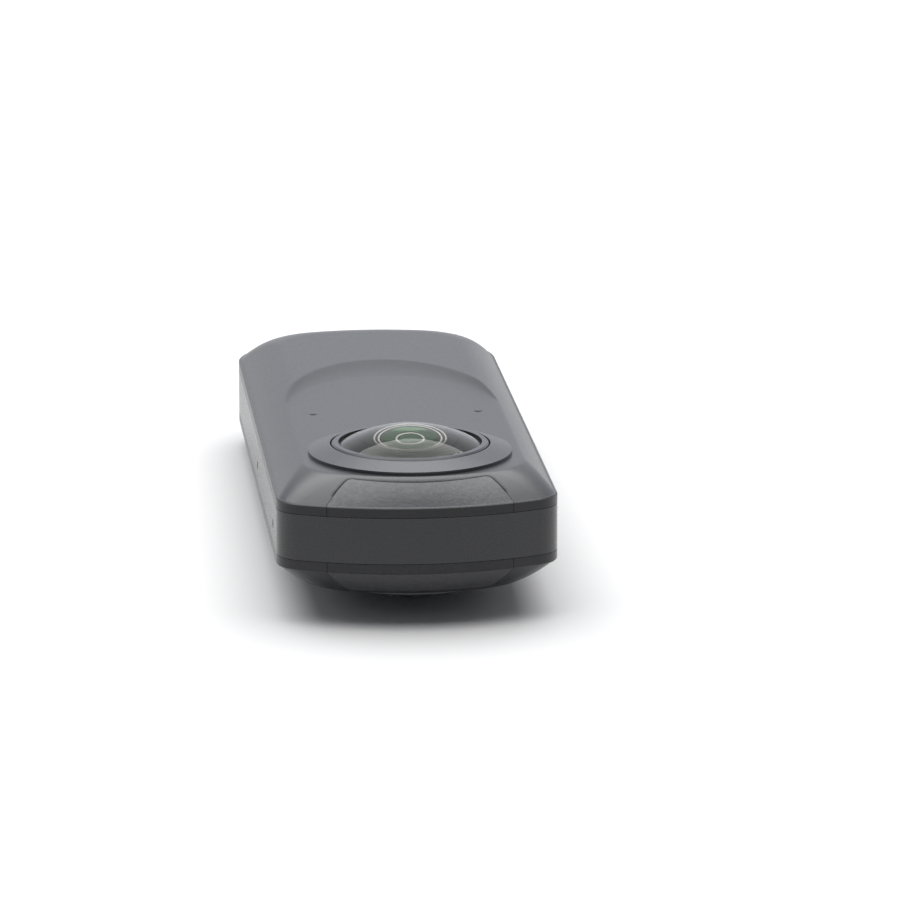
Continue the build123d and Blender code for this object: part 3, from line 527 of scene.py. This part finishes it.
def machined(name, colour, gloss, size, depth, stretch, centre=None):
    """Bare or plated metal with the lines of a brush, or of a lathe where it has a centre."""
    tree, shader = new_material(name, colour, Metallic=1.0)[1:]
    low, high = gloss
    lines = effect(
        tree, "Machined Lines", Stretch=stretch, Centre=centre or (0, 0, 0), Round=1.0 if centre else 0.0,
        Size=size, Depth=depth,
    )
    tone = effect(
        tree, "Cloudy Tone", Colour=rgba(colour), Cloud_Size=4 * MM, Cloud_Share=0.18,
        Grain=lines["Value"], Grain_Share=0.25,
    )["Colour"]
    rough = effect(tree, "Uneven Gloss", Low=low, High=high, Size=3 * MM)["Roughness"]
    feed(tree, shader, Base_Color=tone, Roughness=rough, Normal=lines["Normal"])


def clear(name, colour, **shader_values):
    """Polished glass with a faint drift of its tint."""
    tree, shader = new_material(name, colour, Transmission_Weight=1.0, Roughness=0.0, **shader_values)[1:]
    tone = effect(
        tree, "Cloudy Tone", Colour=rgba(colour), Cloud_Size=10 * MM, Cloud_Share=0.04, Grain_Share=0.0
    )
    feed(tree, shader, Base_Color=tone["Colour"])


def circuit(name, colour, tin):
    """Solder mask over copper tracks, with tinned pads."""
    tree, shader = new_material(name, colour, Coat_Weight=0.4, Coat_Roughness=0.2)[1:]
    point = object_point(tree)
    layout = {"Vector": point, "Scale": 220.0, "Mortar Size": 0.06, "Brick Width": 0.9, "Row Height": 0.35}
    tracks = put(tree, "ShaderNodeTexBrick", layout).outputs["Fac"]
    spread = put(tree, "ShaderNodeTexVoronoi", {"Vector": point, "Scale": 420.0}).outputs["Distance"]
    pad = ranged(tree, spread, 0.22, 0.18)
    tone = effect(
        tree, "Cloudy Tone", Colour=rgba(colour), Cloud_Share=0.2, Grain=tracks, Grain_Share=0.5
    )["Colour"]
    bump = put(tree, "ShaderNodeBump", {"Height": maths(tree, "ADD", tracks, pad), "Distance": 0.03 * MM})
    feed(
        tree, shader, Base_Color=blended(tree, pad, tone, rgba(tin)),
        Roughness=ranged(tree, pad, 0.0, 1.0, 0.45, 0.3), Normal=bump.outputs[0],
    )


# Finishes of the pieces


def grain_of(housing, size=None, depth=None):
    """The housing's grain and wear as settings of a paint, with another grain where one is given."""
    return {
        "grain_size": size or housing.grain_size,
        "grain_depth": depth or housing.grain_depth,
        "wear_width": housing.wear_width,
    }


def make_housing_finishes(housing):
    """Paint of the shells, frame, rings and side buttons, and the resin of the antenna windows, with
    painted shade on the upright rims of the shells and windows.
    """
    worn, grain = housing.worn_colour, grain_of(housing)
    satin = grain_of(housing, depth=0.4 * housing.grain_depth)
    shell = eased(
        "shell_paint", housing.shell_colour, worn, (0.3, 0.36), housing.crease_radius, wear=0.1,
        Specular_IOR_Level=0.6, **grain,
    )
    window = flecked(
        "antenna_resin", housing.window_colour, (0.3, 0.4), housing.fleck_size, housing.fleck_depth, 0.5,
        Specular_IOR_Level=0.6,
    )
    # Painted shade: the upright rims of the shells and windows are drawn darker and less shiny.
    for made in (shell, window):
        shade_rim(made, housing.rim_shade_colour, housing.rim_level)
    painted("frame_paint", housing.frame_colour, worn, (0.24, 0.3), wear=0.1, **satin)
    painted("ring_paint", housing.ring_colour, worn, (0.32, 0.38), wear=0.12, **grain)
    painted("side_button_paint", housing.frame_colour, worn, (0.36, 0.44), **grain)


def make_lens_finishes(housing, lens):
    """Glass, coatings, black and polished metal of the lenses, and the painted shade and green reflection
    of the pupil.
    """
    grain, centre = grain_of(housing), (0, LENS_Y, 0)
    lipped(
        "lens_black", lens.black_colour, housing.ring_colour, housing.worn_colour, (0.3, 0.38), wear=0.12,
        **grain,
    )
    clear("dome_glass", lens.glass_colour, IOR=1.42, Specular_Tint=(0.08, 0.1, 0.06, 1))
    clear(
        "coated_glass", lens.coating_colour, IOR=1.5, Specular_IOR_Level=0.3,
        Specular_Tint=(0.45, 0.9, 0.4, 1),
    )
    # deep_glass is opaque dark green with a green sheen: painted shade and painted green reflection of the
    # deep lens.
    painted(
        "deep_glass", lens.painted_pupil_colour, lens.painted_pupil_colour, (0.04, 0.1), wear=0.0, Specular_IOR_Level=0.5,
        Specular_Tint=(0.5, 1.0, 0.45, 1), Coat_Weight=0.2, Coat_Roughness=0.02,
        **grain_of(housing, 0.3 * MM, 0.0002 * MM),
    )
    painted("lens_ink", (0.011, 0.012, 0.008), grey(0.01), (0.5, 0.6), wear=0.0, **grain)
    machined(
        "retainer_black", (0.045, 0.044, 0.04), (0.2, 0.3), 0.12 * MM, 0.002 * MM, ABOUT_Z, centre
    )
    machined("polished_edge", (0.6, 0.57, 0.5), (0.2, 0.28), 0.08 * MM, 0.001 * MM, ABOUT_Z, centre)


def make_fitting_finishes(housing):
    """Finishes of the shutter, display, lamp, socket, thread, screws and speaker mesh."""
    shutter = (0, SHUTTER_Y, 0)
    machined("button_metal", (0.16, 0.163, 0.17), (0.28, 0.36), 0.12 * MM, 0.002 * MM, ABOUT_Z, shutter)
    machined("trim_metal", (0.6, 0.6, 0.62), (0.1, 0.16), 0.1 * MM, 0.0005 * MM, ABOUT_Z, shutter)
    machined("insert_steel", grey(0.55), (0.2, 0.3), 0.1 * MM, 0.002 * MM, ABOUT_Y, (0, 0, 0))
    machined("screw_steel", grey(0.5), (0.25, 0.36), 0.15 * MM, 0.002 * MM, ALONG_Z)
    machined("socket_steel", (0.5, 0.5, 0.51), (0.2, 0.3), 0.12 * MM, 0.001 * MM, ALONG_Y)
    machined("contact_gold", (0.8, 0.55, 0.2), (0.15, 0.25), 0.1 * MM, 0.001 * MM, ALONG_Y)
    machined("grille_mesh", (0.12, 0.12, 0.125), (0.35, 0.5), 0.05 * MM, 0.001 * MM, (1, 1, 1))
    flecked("lamp_lens", (0.75, 0.75, 0.72), (0.15, 0.25), 0.3 * MM, 0.004 * MM, 0.1)
    painted("display_black", (0.008, 0.008, 0.01), grey(0.01), (0.5, 0.6), **grain_of(housing))
    painted(
        "display_glass", (0.006, 0.006, 0.008), grey(0.02), (0.03, 0.08), wear=0.1, Coat_Weight=1.0,
        Coat_Roughness=0.02, **grain_of(housing, 0.5 * MM, 0.0001 * MM),
    )


def make_inner_finishes(housing):
    """Finishes of the parts inside: seals, boards, battery, cast bracket, tin and copper."""
    grain = grain_of(housing)
    painted("seal_rubber", grey(0.012), grey(0.03), (0.7, 0.85), **grain)
    painted("battery_wrap", (0.03, 0.03, 0.034), grey(0.1), (0.3, 0.5), **grain)
    painted("cast_metal", (0.3, 0.3, 0.31), grey(0.6), (0.45, 0.6), Metallic=1.0, **grain)
    machined("tin_plate", (0.62, 0.61, 0.58), (0.22, 0.34), 0.2 * MM, 0.002 * MM, ALONG_Y)
    machined("copper_sheet", (0.72, 0.36, 0.2), (0.25, 0.35), 0.3 * MM, 0.002 * MM, (1, 0.04, 1))
    circuit("circuit_board", (0.012, 0.07, 0.03), (0.55, 0.53, 0.48))


# Shaping tools


def fresh_start():
    """Leaves edit mode and deselects everything."""
    if bpy.context.object and bpy.context.object.mode != "OBJECT":
        bpy.ops.object.mode_set(mode="OBJECT")
    bpy.ops.object.select_all(action="DESELECT")


def take(piece):
    """Makes a piece the only one selected, and the active one."""
    fresh_start()
    piece.select_set(True)
    bpy.context.view_layer.objects.active = piece


def named(name):
    """The active piece, with its name given to it and to its mesh."""
    piece = bpy.context.object
    piece.name = piece.data.name = name
    return piece


def settle(piece, matrix=None):
    """Gives the mesh its place, so that its object sits at the origin, unturned and unscaled."""
    take(piece)
    if matrix is not None:
        piece.matrix_world = matrix @ piece.matrix_world
    bpy.ops.object.transform_apply(location=True, rotation=True, scale=True)


def finish_with(piece, kind, **settings):
    """Adds a modifier, sets it up and applies it."""
    take(piece)
    modifier = piece.modifiers.new(kind.lower(), kind)
    for name, value in settings.items():
        setattr(modifier, name, value)
    bpy.ops.object.modifier_apply(modifier=modifier.name)


def cleaned(piece):
    """Merges doubled points and turns the faces outwards."""
    take(piece)
    bpy.ops.object.mode_set(mode="EDIT")
    bpy.ops.mesh.select_all(action="SELECT")
    bpy.ops.mesh.remove_doubles(threshold=TOUCHING)
    bpy.ops.mesh.normals_make_consistent(inside=False)
    bpy.ops.object.mode_set(mode="OBJECT")


def smoothed(piece, angle=30):
    """Smooth shading that keeps edges sharper than an angle in degrees."""
    take(piece)
    bpy.ops.object.shade_smooth_by_angle(angle=radians(angle))


def pick(piece, test):
    """In edit mode, selects the points that pass a test on their place, and nothing else."""
    mesh = bmesh.from_edit_mesh(piece.data)
    bpy.ops.mesh.select_mode(type="VERT")
    bpy.ops.mesh.select_all(action="DESELECT")
    for vertex in mesh.verts:
        vertex.select_set(test(vertex.co))
    mesh.select_flush_mode()
    bmesh.update_edit_mesh(piece.data)


def close_pole(piece, radius, level):
    """Draws the ring at a radius and level in to a point on the axis."""
    near = 0.3 * radius
    pick(piece, lambda co: abs(co.xy.length - radius) < near and abs(co.z - level) < TOUCHING)
    bpy.ops.mesh.extrude_edges_move()
    bpy.ops.mesh.merge(type="CENTER")


def turned(name, profile, segments=128, closed=True):
    """A piece turned about the Z axis: a circle is extruded and sized along a profile.

    The profile is a list of (radius, level). A closed one comes back to its start, and the ends of
    an open one are drawn in to the axis.
    """
    fresh_start()
    radius, level = profile[0]
    bpy.ops.mesh.primitive_circle_add(vertices=segments, radius=radius, location=(0, 0, level))
    piece = named(name)
    bpy.ops.object.transform_apply(location=True)
    bpy.ops.object.mode_set(mode="EDIT")
    bpy.ops.mesh.select_all(action="SELECT")
    for next_radius, next_level in profile[1:] + ([profile[0]] if closed else []):
        bpy.ops.mesh.extrude_edges_move(TRANSFORM_OT_translate={"value": (0, 0, next_level - level)})
        share = next_radius / radius
        bpy.ops.transform.resize(value=(share, share, 1), center_override=(0, 0, next_level))
        radius, level = next_radius, next_level
    if not closed:
        close_pole(piece, *profile[0])
        close_pole(piece, *profile[-1])
    bpy.ops.object.mode_set(mode="OBJECT")
    cleaned(piece)
    return piece


def arc_profile(radius, rise, foot, steps, from_pole=False):
    """Points of a spherical cap from its rim to just short of its pole, or the other way.

    A rise below zero gives a bowl.
    """
    sphere = (radius**2 + rise**2) / (2 * abs(rise))
    whole = [radius * (1 - step / steps) for step in range(steps)] + [radius * 0.25 / steps]
    points = [(r, foot + copysign(abs(rise) - sphere + sqrt(sphere**2 - r**2), rise)) for r in whole]
    return points[::-1] if from_pole else points


def dress(piece, *materials):
    """Gives a piece its materials by name."""
    piece.data.materials.clear()
    for name in materials:
        piece.data.materials.append(bpy.data.materials[name])


def enter(piece, node=None):
    """Hangs a piece on the body that it rides on, and hides the plain part that it stands for, if any."""
    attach(piece, BODY)
    if node:
        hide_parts(node)


def both_lenses(piece, name, node=None):
    """Puts a piece in the rear lens, and a copy with its own mesh in the front one."""
    settle(piece, Matrix.Translation((0, LENS_Y, 0)))
    smoothed(piece)
    for side in SIDES:
        if side == "front":
            take(piece)
            bpy.ops.object.duplicate()
            piece = named("front_" + name)
            settle(piece, FRONT_TURN)
        enter(piece, node and f"{side}_{node}")


# Operators


class CAMERA360_OT_finishes(bpy.types.Operator):
    """Make the shared node groups and the materials, and give the carried-over parts theirs"""

    bl_idname = "camera360.finishes"
    bl_label = "Finishes"

    def execute(self, context):
        housing, lens = context.scene.housing_finish, context.scene.lens_shape
        for make in GROUP_MAKERS:
            make()
        make_housing_finishes(housing)
        make_lens_finishes(housing, lens)
        make_fitting_finishes(housing)
        make_inner_finishes(housing)
        for part in frame["record"]["subparts"]:
            for slot in frame["nodes"][part["node"]].material_slots:
                slot.material = bpy.data.materials[part["material_slot"]]
        return {"FINISHED"}


class CAMERA360_OT_dome(bpy.types.Operator):
    """Turn the dome of each lens, with the inked back and its polished ledges"""

    bl_idname = "camera360.dome"
    bl_label = "Domes"

    def execute(self, context):
        shape = context.scene.lens_shape
        edge = LENS_HIGH.z - shape.dome_rise
        back = arc_profile(shape.back_radius, -shape.back_drop, LENS_LOW.z, 28, from_pole=True)
        profile = self.ledges(back, shape.ledge_width) + [(DOME_RADIUS, LENS_LOW.z)]
        profile += arc_profile(DOME_RADIUS, shape.dome_rise, edge, 24)
        dome = turned("rear_dome", profile, 160, closed=False)
        dress(dome, "dome_glass", "lens_ink", "polished_edge", "deep_glass")
        for face in dome.data.polygons:
            outside = face.center.z > edge and face.normal.z > 0
            face.material_index = 0 if outside else self.back_finish(face.center.xy.length, shape)
        both_lenses(dome, "dome", "dome_glass")
        return {"FINISHED"}

    def ledges(self, profile, width):
        """Puts a small flat step into the back's profile at the radius of each ledge."""
        stepped = []
        for (radius, level), (next_radius, next_level) in zip(profile, profile[1:]):
            stepped.append((radius, level))
            for middle in LEDGES:
                if radius <= middle < next_radius:
                    share = (middle - radius) / (next_radius - radius)
                    height = level + share * (next_level - level) + width / 4
                    stepped += [(middle - width / 2, height), (middle + width / 2, height)]
        return stepped + profile[-1:]

    def back_finish(self, reach, shape):
        """The place in the list of materials of the back's finish, at a distance from the axis."""
        if any(abs(reach - middle) < 0.45 * shape.ledge_width for middle in LEDGES):
            return 2
        # Inside the pupil radius the back gets deep_glass, the painted shade and green reflection of the
        # deep lens.
        return 3 if reach < shape.pupil_radius else 1


class CAMERA360_OT_elements(bpy.types.Operator):
    """Turn the second and third elements behind each dome"""

    bl_idname = "camera360.elements"
    bl_label = "Inner elements"

    def execute(self, context):
        shape = context.scene.lens_shape
        low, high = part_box("rear_inner_glass")
        rim, bowl_radius, bowl_depth = high.x, 0.62 * high.x, 0.9 * MM
        shoulder = high.z - shape.back_drop - shape.crown_rise
        profile = arc_profile(bowl_radius, bowl_depth, low.z, 8, from_pole=True)
        profile += [(rim, low.z), (rim, shoulder)]
        profile += arc_profile(shape.crown_radius, shape.crown_rise, shoulder, 16)
        second = turned("rear_element", profile, closed=False)
        dress(second, "coated_glass", "lens_ink")
        for face in second.data.polygons:
            reach = face.center.xy.length
            on_foot = reach > bowl_radius and face.center.z < low.z + 0.01 * MM
            face.material_index = int(on_foot or reach > shape.crown_radius)
        both_lenses(second, "element", "inner_glass")

        thickness, sunk = 0.6 * MM, 0.15 * MM
        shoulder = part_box("rear_lens_stack")[1].z - sunk
        foot = shoulder - thickness
        profile = [(0.2 * shape.deep_radius, foot), (shape.deep_radius, foot)]
        profile += arc_profile(shape.deep_radius, shape.deep_rise, shoulder, 12)
        third = turned("rear_deep_element", profile, 96, closed=False)
        # The third element is opaque deep_glass, painted as the shade and green reflection deep in the
        # lens.
        dress(third, "deep_glass")
        both_lenses(third, "deep_element")
        return {"FINISHED"}


class CAMERA360_OT_retainers(bpy.types.Operator):
    """Turn the stepped rings that hold the elements of each lens"""

    bl_idname = "camera360.retainers"
    bl_label = "Retaining rings"

    def execute(self, context):
        upper = turned("rear_retainer", self.upper_profile(*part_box("rear_baffle")))
        self.polish(upper)
        both_lenses(upper, "retainer", "baffle")
        lower = turned("rear_lower_retainer", self.lower_profile(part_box("rear_lens_stack")[1].z), 96)
        self.polish(lower)
        both_lenses(lower, "lower_retainer")
        return {"FINISHED"}

    def upper_profile(self, low, high):
        """Steps that go down towards the bore, each with a chamfered edge.

        The walls above the lowest stand back a little from an even division.
        """
        outer, inner, steps = high.x, 6.0 * MM, 3
        below_dome, setback, chamfer = 0.6 * MM, 0.04 * MM, 0.08 * MM
        top = high.z - below_dome
        tread, drop = (outer - inner) / steps, (top - low.z) / steps
        profile = [(inner, low.z), (outer, low.z), (outer, top)]
        for step in range(steps):
            last = step == steps - 1
            edge = outer - tread * (step + 1) + (0 if last else setback)
            level = top - drop * step
            profile += [(edge + chamfer, level), (edge, level - chamfer)]
            if not last:
                profile += [(edge, level - drop)]
        return profile

    def lower_profile(self, foot):
        """A ring with one seat inside it."""
        bore, seat, outer = 3.35 * MM, 4.2 * MM, 5.3 * MM
        ledge, top, chamfer, outer_chamfer = foot + 0.3 * MM, foot + 0.6 * MM, 0.1 * MM, 0.15 * MM
        return [
            (bore, foot),
            (outer, foot),
            (outer, top - outer_chamfer),
            (outer - outer_chamfer, top),
            (seat + chamfer, top),
            (seat, top - chamfer),
            (seat, ledge),
            (bore + chamfer, ledge),
            (bore, ledge - chamfer),
        ]

    def polish(self, ring):
        """Gives the chamfers of a ring their polish."""
        dress(ring, "retainer_black", "polished_edge")
        for face in ring.data.polygons:
            face.material_index = int(0.3 < abs(face.normal.z) < 0.95)


class CAMERA360_OT_thread(bpy.types.Operator):
    """Cut the tripod thread: a barrel with a flange, and the thread's ridge wound inside it"""

    bl_idname = "camera360.thread"
    bl_label = "Tripod thread"

    def execute(self, context):
        shape = context.scene.thread_shape
        length = INSERT_HIGH.y - INSERT_LOW.y
        flange, barrel_radius, root = INSERT_HIGH.x, shape.barrel_radius, shape.root_radius
        near_axis, flange_chamfer, foot_chamfer = 0.2 * root, 0.1 * MM, 0.15 * MM
        profile = [
            (near_axis, shape.floor),
            (root, shape.floor),
            (root, length - shape.mouth),
            (root + shape.mouth, length),
            (flange - flange_chamfer, length),
            (flange, length - flange_chamfer),
            (flange, length - shape.flange),
            (barrel_radius, length - shape.flange),
            (barrel_radius, foot_chamfer),
            (barrel_radius - foot_chamfer, 0.0),
            (near_axis, 0.0),
        ]
        barrel = turned("tripod_barrel", profile, 96, closed=False)
        ridge = self.ridge(shape)
        finish_with(barrel, "BOOLEAN", operation="UNION", solver="EXACT", object=ridge)
        bpy.data.objects.remove(ridge)
        settle(barrel, Matrix.Translation((0, INSERT_LOW.y, 0)) @ Matrix.Rotation(-pi / 2, 4, "X"))
        smoothed(barrel, 25)
        dress(barrel, "insert_steel")
        enter(barrel, "tripod_insert")
        return {"FINISHED"}

    def ridge(self, shape):
        """A closed ridge of triangular section, wound up the bore."""
        turns, steps, overlap = 4, 64, 0.05 * MM
        height = shape.root_radius + overlap - shape.crest_radius
        corner_radius, width = height / 1.5, 0.92 * shape.pitch
        fresh_start()
        bpy.ops.mesh.primitive_circle_add(
            vertices=3,
            radius=corner_radius,
            location=(shape.crest_radius + corner_radius, 0, shape.floor + 0.7 * shape.pitch),
            rotation=(pi / 2, -pi / 2, 0),
        )
        ridge = named("thread_ridge")
        bpy.ops.object.transform_apply(location=False, rotation=True, scale=True)
        ridge.scale.z = width / (2 * height / sqrt(3))
        bpy.ops.object.transform_apply(location=True, rotation=True, scale=True)
        finish_with(
            ridge, "SCREW", axis="Z", angle=2 * pi, screw_offset=shape.pitch, iterations=turns, steps=steps,
            render_steps=steps,
        )
        bpy.ops.object.mode_set(mode="EDIT")
        bpy.ops.mesh.select_mode(type="EDGE")
        bpy.ops.mesh.select_all(action="DESELECT")
        bpy.ops.mesh.select_non_manifold()
        bpy.ops.mesh.fill_holes(sides=4)
        bpy.ops.object.mode_set(mode="OBJECT")
        cleaned(ridge)
        return ridge


class CAMERA360_OT_grille(bpy.types.Operator):
    """Weave the fine wire mesh behind the speaker's slots"""

    bl_idname = "camera360.grille"
    bl_label = "Speaker mesh"

    def execute(self, context):
        margin, wire, along, across = 0.1 * MM, 0.11 * MM, 34, 17
        size = GRILLE_HIGH - GRILLE_LOW
        centre = (GRILLE_LOW + GRILLE_HIGH) / 2
        fresh_start()
        bpy.ops.mesh.primitive_grid_add(
            x_subdivisions=along, y_subdivisions=across, size=1, location=centre,
            rotation=(pi / 2, 0, pi / 2),
        )
        mesh = named("speaker_mesh")
        mesh.scale = (size.y - margin, size.z - margin, 1)
        settle(mesh)
        finish_with(mesh, "WIREFRAME", thickness=wire, use_even_offset=False)
        smoothed(mesh, 60)
        dress(mesh, "grille_mesh")
        enter(mesh, "speaker_grille")
        return {"FINISHED"}


class CAMERA360_OT_contacts(bpy.types.Operator):
    """Lay the gold contacts on both faces of the socket's tongue"""

    bl_idname = "camera360.contacts"
    bl_label = "Socket contacts"

    def execute(self, context):
        count, pitch, edge = 12, 0.5 * MM, 0.012 * MM
        width, length, thickness = 0.28 * MM, 3.2 * MM, 0.04 * MM
        back_wall, tongue_length, tongue_thickness, setback = 1.0 * MM, 4.6 * MM, 0.7 * MM, 0.5 * MM
        first = (SOCKET_LOW.x + SOCKET_HIGH.x) / 2 - pitch * (count - 1) / 2
        end = SOCKET_LOW.y + back_wall + tongue_length - setback
        fresh_start()
        bpy.ops.mesh.primitive_cube_add(
            size=1, location=(first, end - length / 2, (tongue_thickness + thickness) / 2)
        )
        pads = named("socket_contacts")
        pads.scale = (width, length, thickness)
        settle(pads)
        finish_with(pads, "BEVEL", width=edge, segments=2)
        bpy.ops.object.mode_set(mode="EDIT")
        bpy.ops.mesh.select_all(action="SELECT")
        for _ in range(count - 1):
            bpy.ops.mesh.duplicate_move(TRANSFORM_OT_translate={"value": (pitch, 0, 0)})
        bpy.ops.mesh.select_all(action="SELECT")
        to_underside = (0, 0, -tongue_thickness - thickness)
        bpy.ops.mesh.duplicate_move(TRANSFORM_OT_translate={"value": to_underside})
        bpy.ops.object.mode_set(mode="OBJECT")
        cleaned(pads)
        smoothed(pads)
        dress(pads, "contact_gold")
        enter(pads)
        return {"FINISHED"}


class CAMERA360_OT_stage(bpy.types.Operator):
    """Set up the pale floor, the softbox, the white room and the camera"""

    bl_idname = "camera360.stage"
    bl_label = "Stage"

    def execute(self, context):
        scene, setup = context.scene, context.scene.stage_setup
        slope, height = self.resting_plane()
        fresh_start()
        bpy.ops.mesh.primitive_plane_add(
            size=setup.floor_size, location=(0, 0, height), rotation=(slope, 0, 0)
        )
        floor = context.object
        floor.name = "floor"
        self.paint_floor(floor, setup)
        bpy.ops.object.light_add(type="AREA", location=setup.softbox_place)
        lamp = context.object
        lamp.name = "softbox"
        lamp.data.size, lamp.data.energy = setup.softbox_size, setup.softbox
        self.light_room(scene, setup)
        bpy.ops.object.camera_add(location=setup.place, rotation=(pi / 2 - setup.pitch, 0, -setup.heading))
        camera = context.object
        camera.data.lens, camera.data.sensor_width = setup.lens, 36
        camera.data.clip_start, camera.data.clip_end = 0.05, 50
        scene.camera = camera
        scene.view_settings.view_transform = "Standard"
        return {"FINISHED"}

    def resting_plane(self):
        """Slope about X and height of the floor that touches the body on both sides of its middle.

        The slope is found by halving a range until the floor touches both ends alike.
        """
        points = [v.co for piece in frame["nodes"].values() for v in piece.data.vertices if v.co.z < 0]
        low, high = radians(-10), radians(10)
        for _ in range(40):
            slope = (low + high) / 2
            near = min(p.z - p.y * slope for p in points if p.y < 0)
            far = min(p.z - p.y * slope for p in points if p.y >= 0)
            low, high = (slope, high) if near < far else (low, slope)
        return slope, min(near, far)

    def paint_floor(self, floor, setup):
        """Pale grey card that keeps the shadow, and that is clear from below."""
        made, tree, shader = new_material(
            "floor_card", setup.floor_colour, Specular_IOR_Level=0.2, Roughness=0.8
        )
        grain = effect(tree, "Fine Grain", Size=0.8 * MM, Depth=0.01 * MM)
        tone = effect(
            tree, "Cloudy Tone", Colour=rgba(setup.floor_colour), Cloud_Size=400 * MM, Cloud_Share=0.01,
            Grain=grain["Value"], Grain_Share=0.01,
        )
        feed(tree, shader, Base_Color=tone["Colour"], Normal=grain["Normal"])
        clear_back = put(tree, "ShaderNodeBsdfTransparent").outputs[0]
        behind = put(tree, "ShaderNodeNewGeometry").outputs["Backfacing"]
        mixed = put(tree, "ShaderNodeMixShader", {0: behind, 1: shader.outputs[0], 2: clear_back})
        tree.links.new(mixed.outputs[0], tree.nodes["Material Output"].inputs["Surface"])
        floor.data.materials.append(made)

    def light_room(self, scene, setup):
        """A white room, brighter beyond the object than behind the camera, that is seen as pure white."""
        world = bpy.data.worlds.new("white_room")
        world.use_nodes = True
        tree = world.node_tree
        tree.nodes.clear()
        way = put(tree, "ShaderNodeTexCoord").outputs["Generated"]
        depth = put(tree, "ShaderNodeSeparateXYZ", {0: way}).outputs["Y"]
        share = ranged(tree, depth, -0.6, 0.5, smooth=True)
        light = blended(tree, share, rgba(setup.near_wall), rgba(setup.far_wall))
        room = put(tree, "ShaderNodeBackground", {"Color": light, "Strength": setup.sky}).outputs[0]
        seen = put(tree, "ShaderNodeBackground", {"Color": rgba(grey(1)), "Strength": 1.0}).outputs[0]
        direct = put(tree, "ShaderNodeLightPath").outputs["Is Camera Ray"]
        mixed = put(tree, "ShaderNodeMixShader", {0: direct, 1: room, 2: seen}).outputs[0]
        put(tree, "ShaderNodeOutputWorld", {"Surface": mixed})
        scene.world = world


PROPERTY_GROUPS = {
    "housing_finish": HousingFinish,
    "lens_shape": LensShape,
    "thread_shape": ThreadShape,
    "stage_setup": StageSetup,
}
OPERATORS = (
    CAMERA360_OT_finishes,
    CAMERA360_OT_dome,
    CAMERA360_OT_elements,
    CAMERA360_OT_retainers,
    CAMERA360_OT_thread,
    CAMERA360_OT_grille,
    CAMERA360_OT_contacts,
    CAMERA360_OT_stage,
)


class CAMERA360_PT_build(bpy.types.Panel):
    """Lists the settings and the operators"""

    bl_idname = "CAMERA360_PT_build"
    bl_label = "360 Degree Camera"
    bl_space_type = "VIEW_3D"
    bl_region_type = "UI"
    bl_category = "Camera"

    def draw(self, context):
        for name, kind in PROPERTY_GROUPS.items():
            box = self.layout.box()
            box.label(text=kind.__doc__.split(".")[0])
            for setting in kind.__annotations__:
                box.prop(getattr(context.scene, name), setting)
        for operator in OPERATORS:
            self.layout.operator(operator.bl_idname)


CLASSES = (*PROPERTY_GROUPS.values(), *OPERATORS, CAMERA360_PT_build)


def register():
    """Makes the classes known and hangs the settings on the scene."""
    for kind in CLASSES:
        bpy.utils.register_class(kind)
    for name, kind in PROPERTY_GROUPS.items():
        setattr(bpy.types.Scene, name, bpy.props.PointerProperty(type=kind))


def unregister():
    """Takes back what register() does."""
    for name in PROPERTY_GROUPS:
        delattr(bpy.types.Scene, name)
    for kind in reversed(CLASSES):
        bpy.utils.unregister_class(kind)


def main():
    """Builds everything in order."""
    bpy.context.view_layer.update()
    register()
    for operator in OPERATORS:
        family, name = operator.bl_idname.split(".")
        getattr(getattr(bpy.ops, family), name)()


if __name__ == "__main__":
    main()
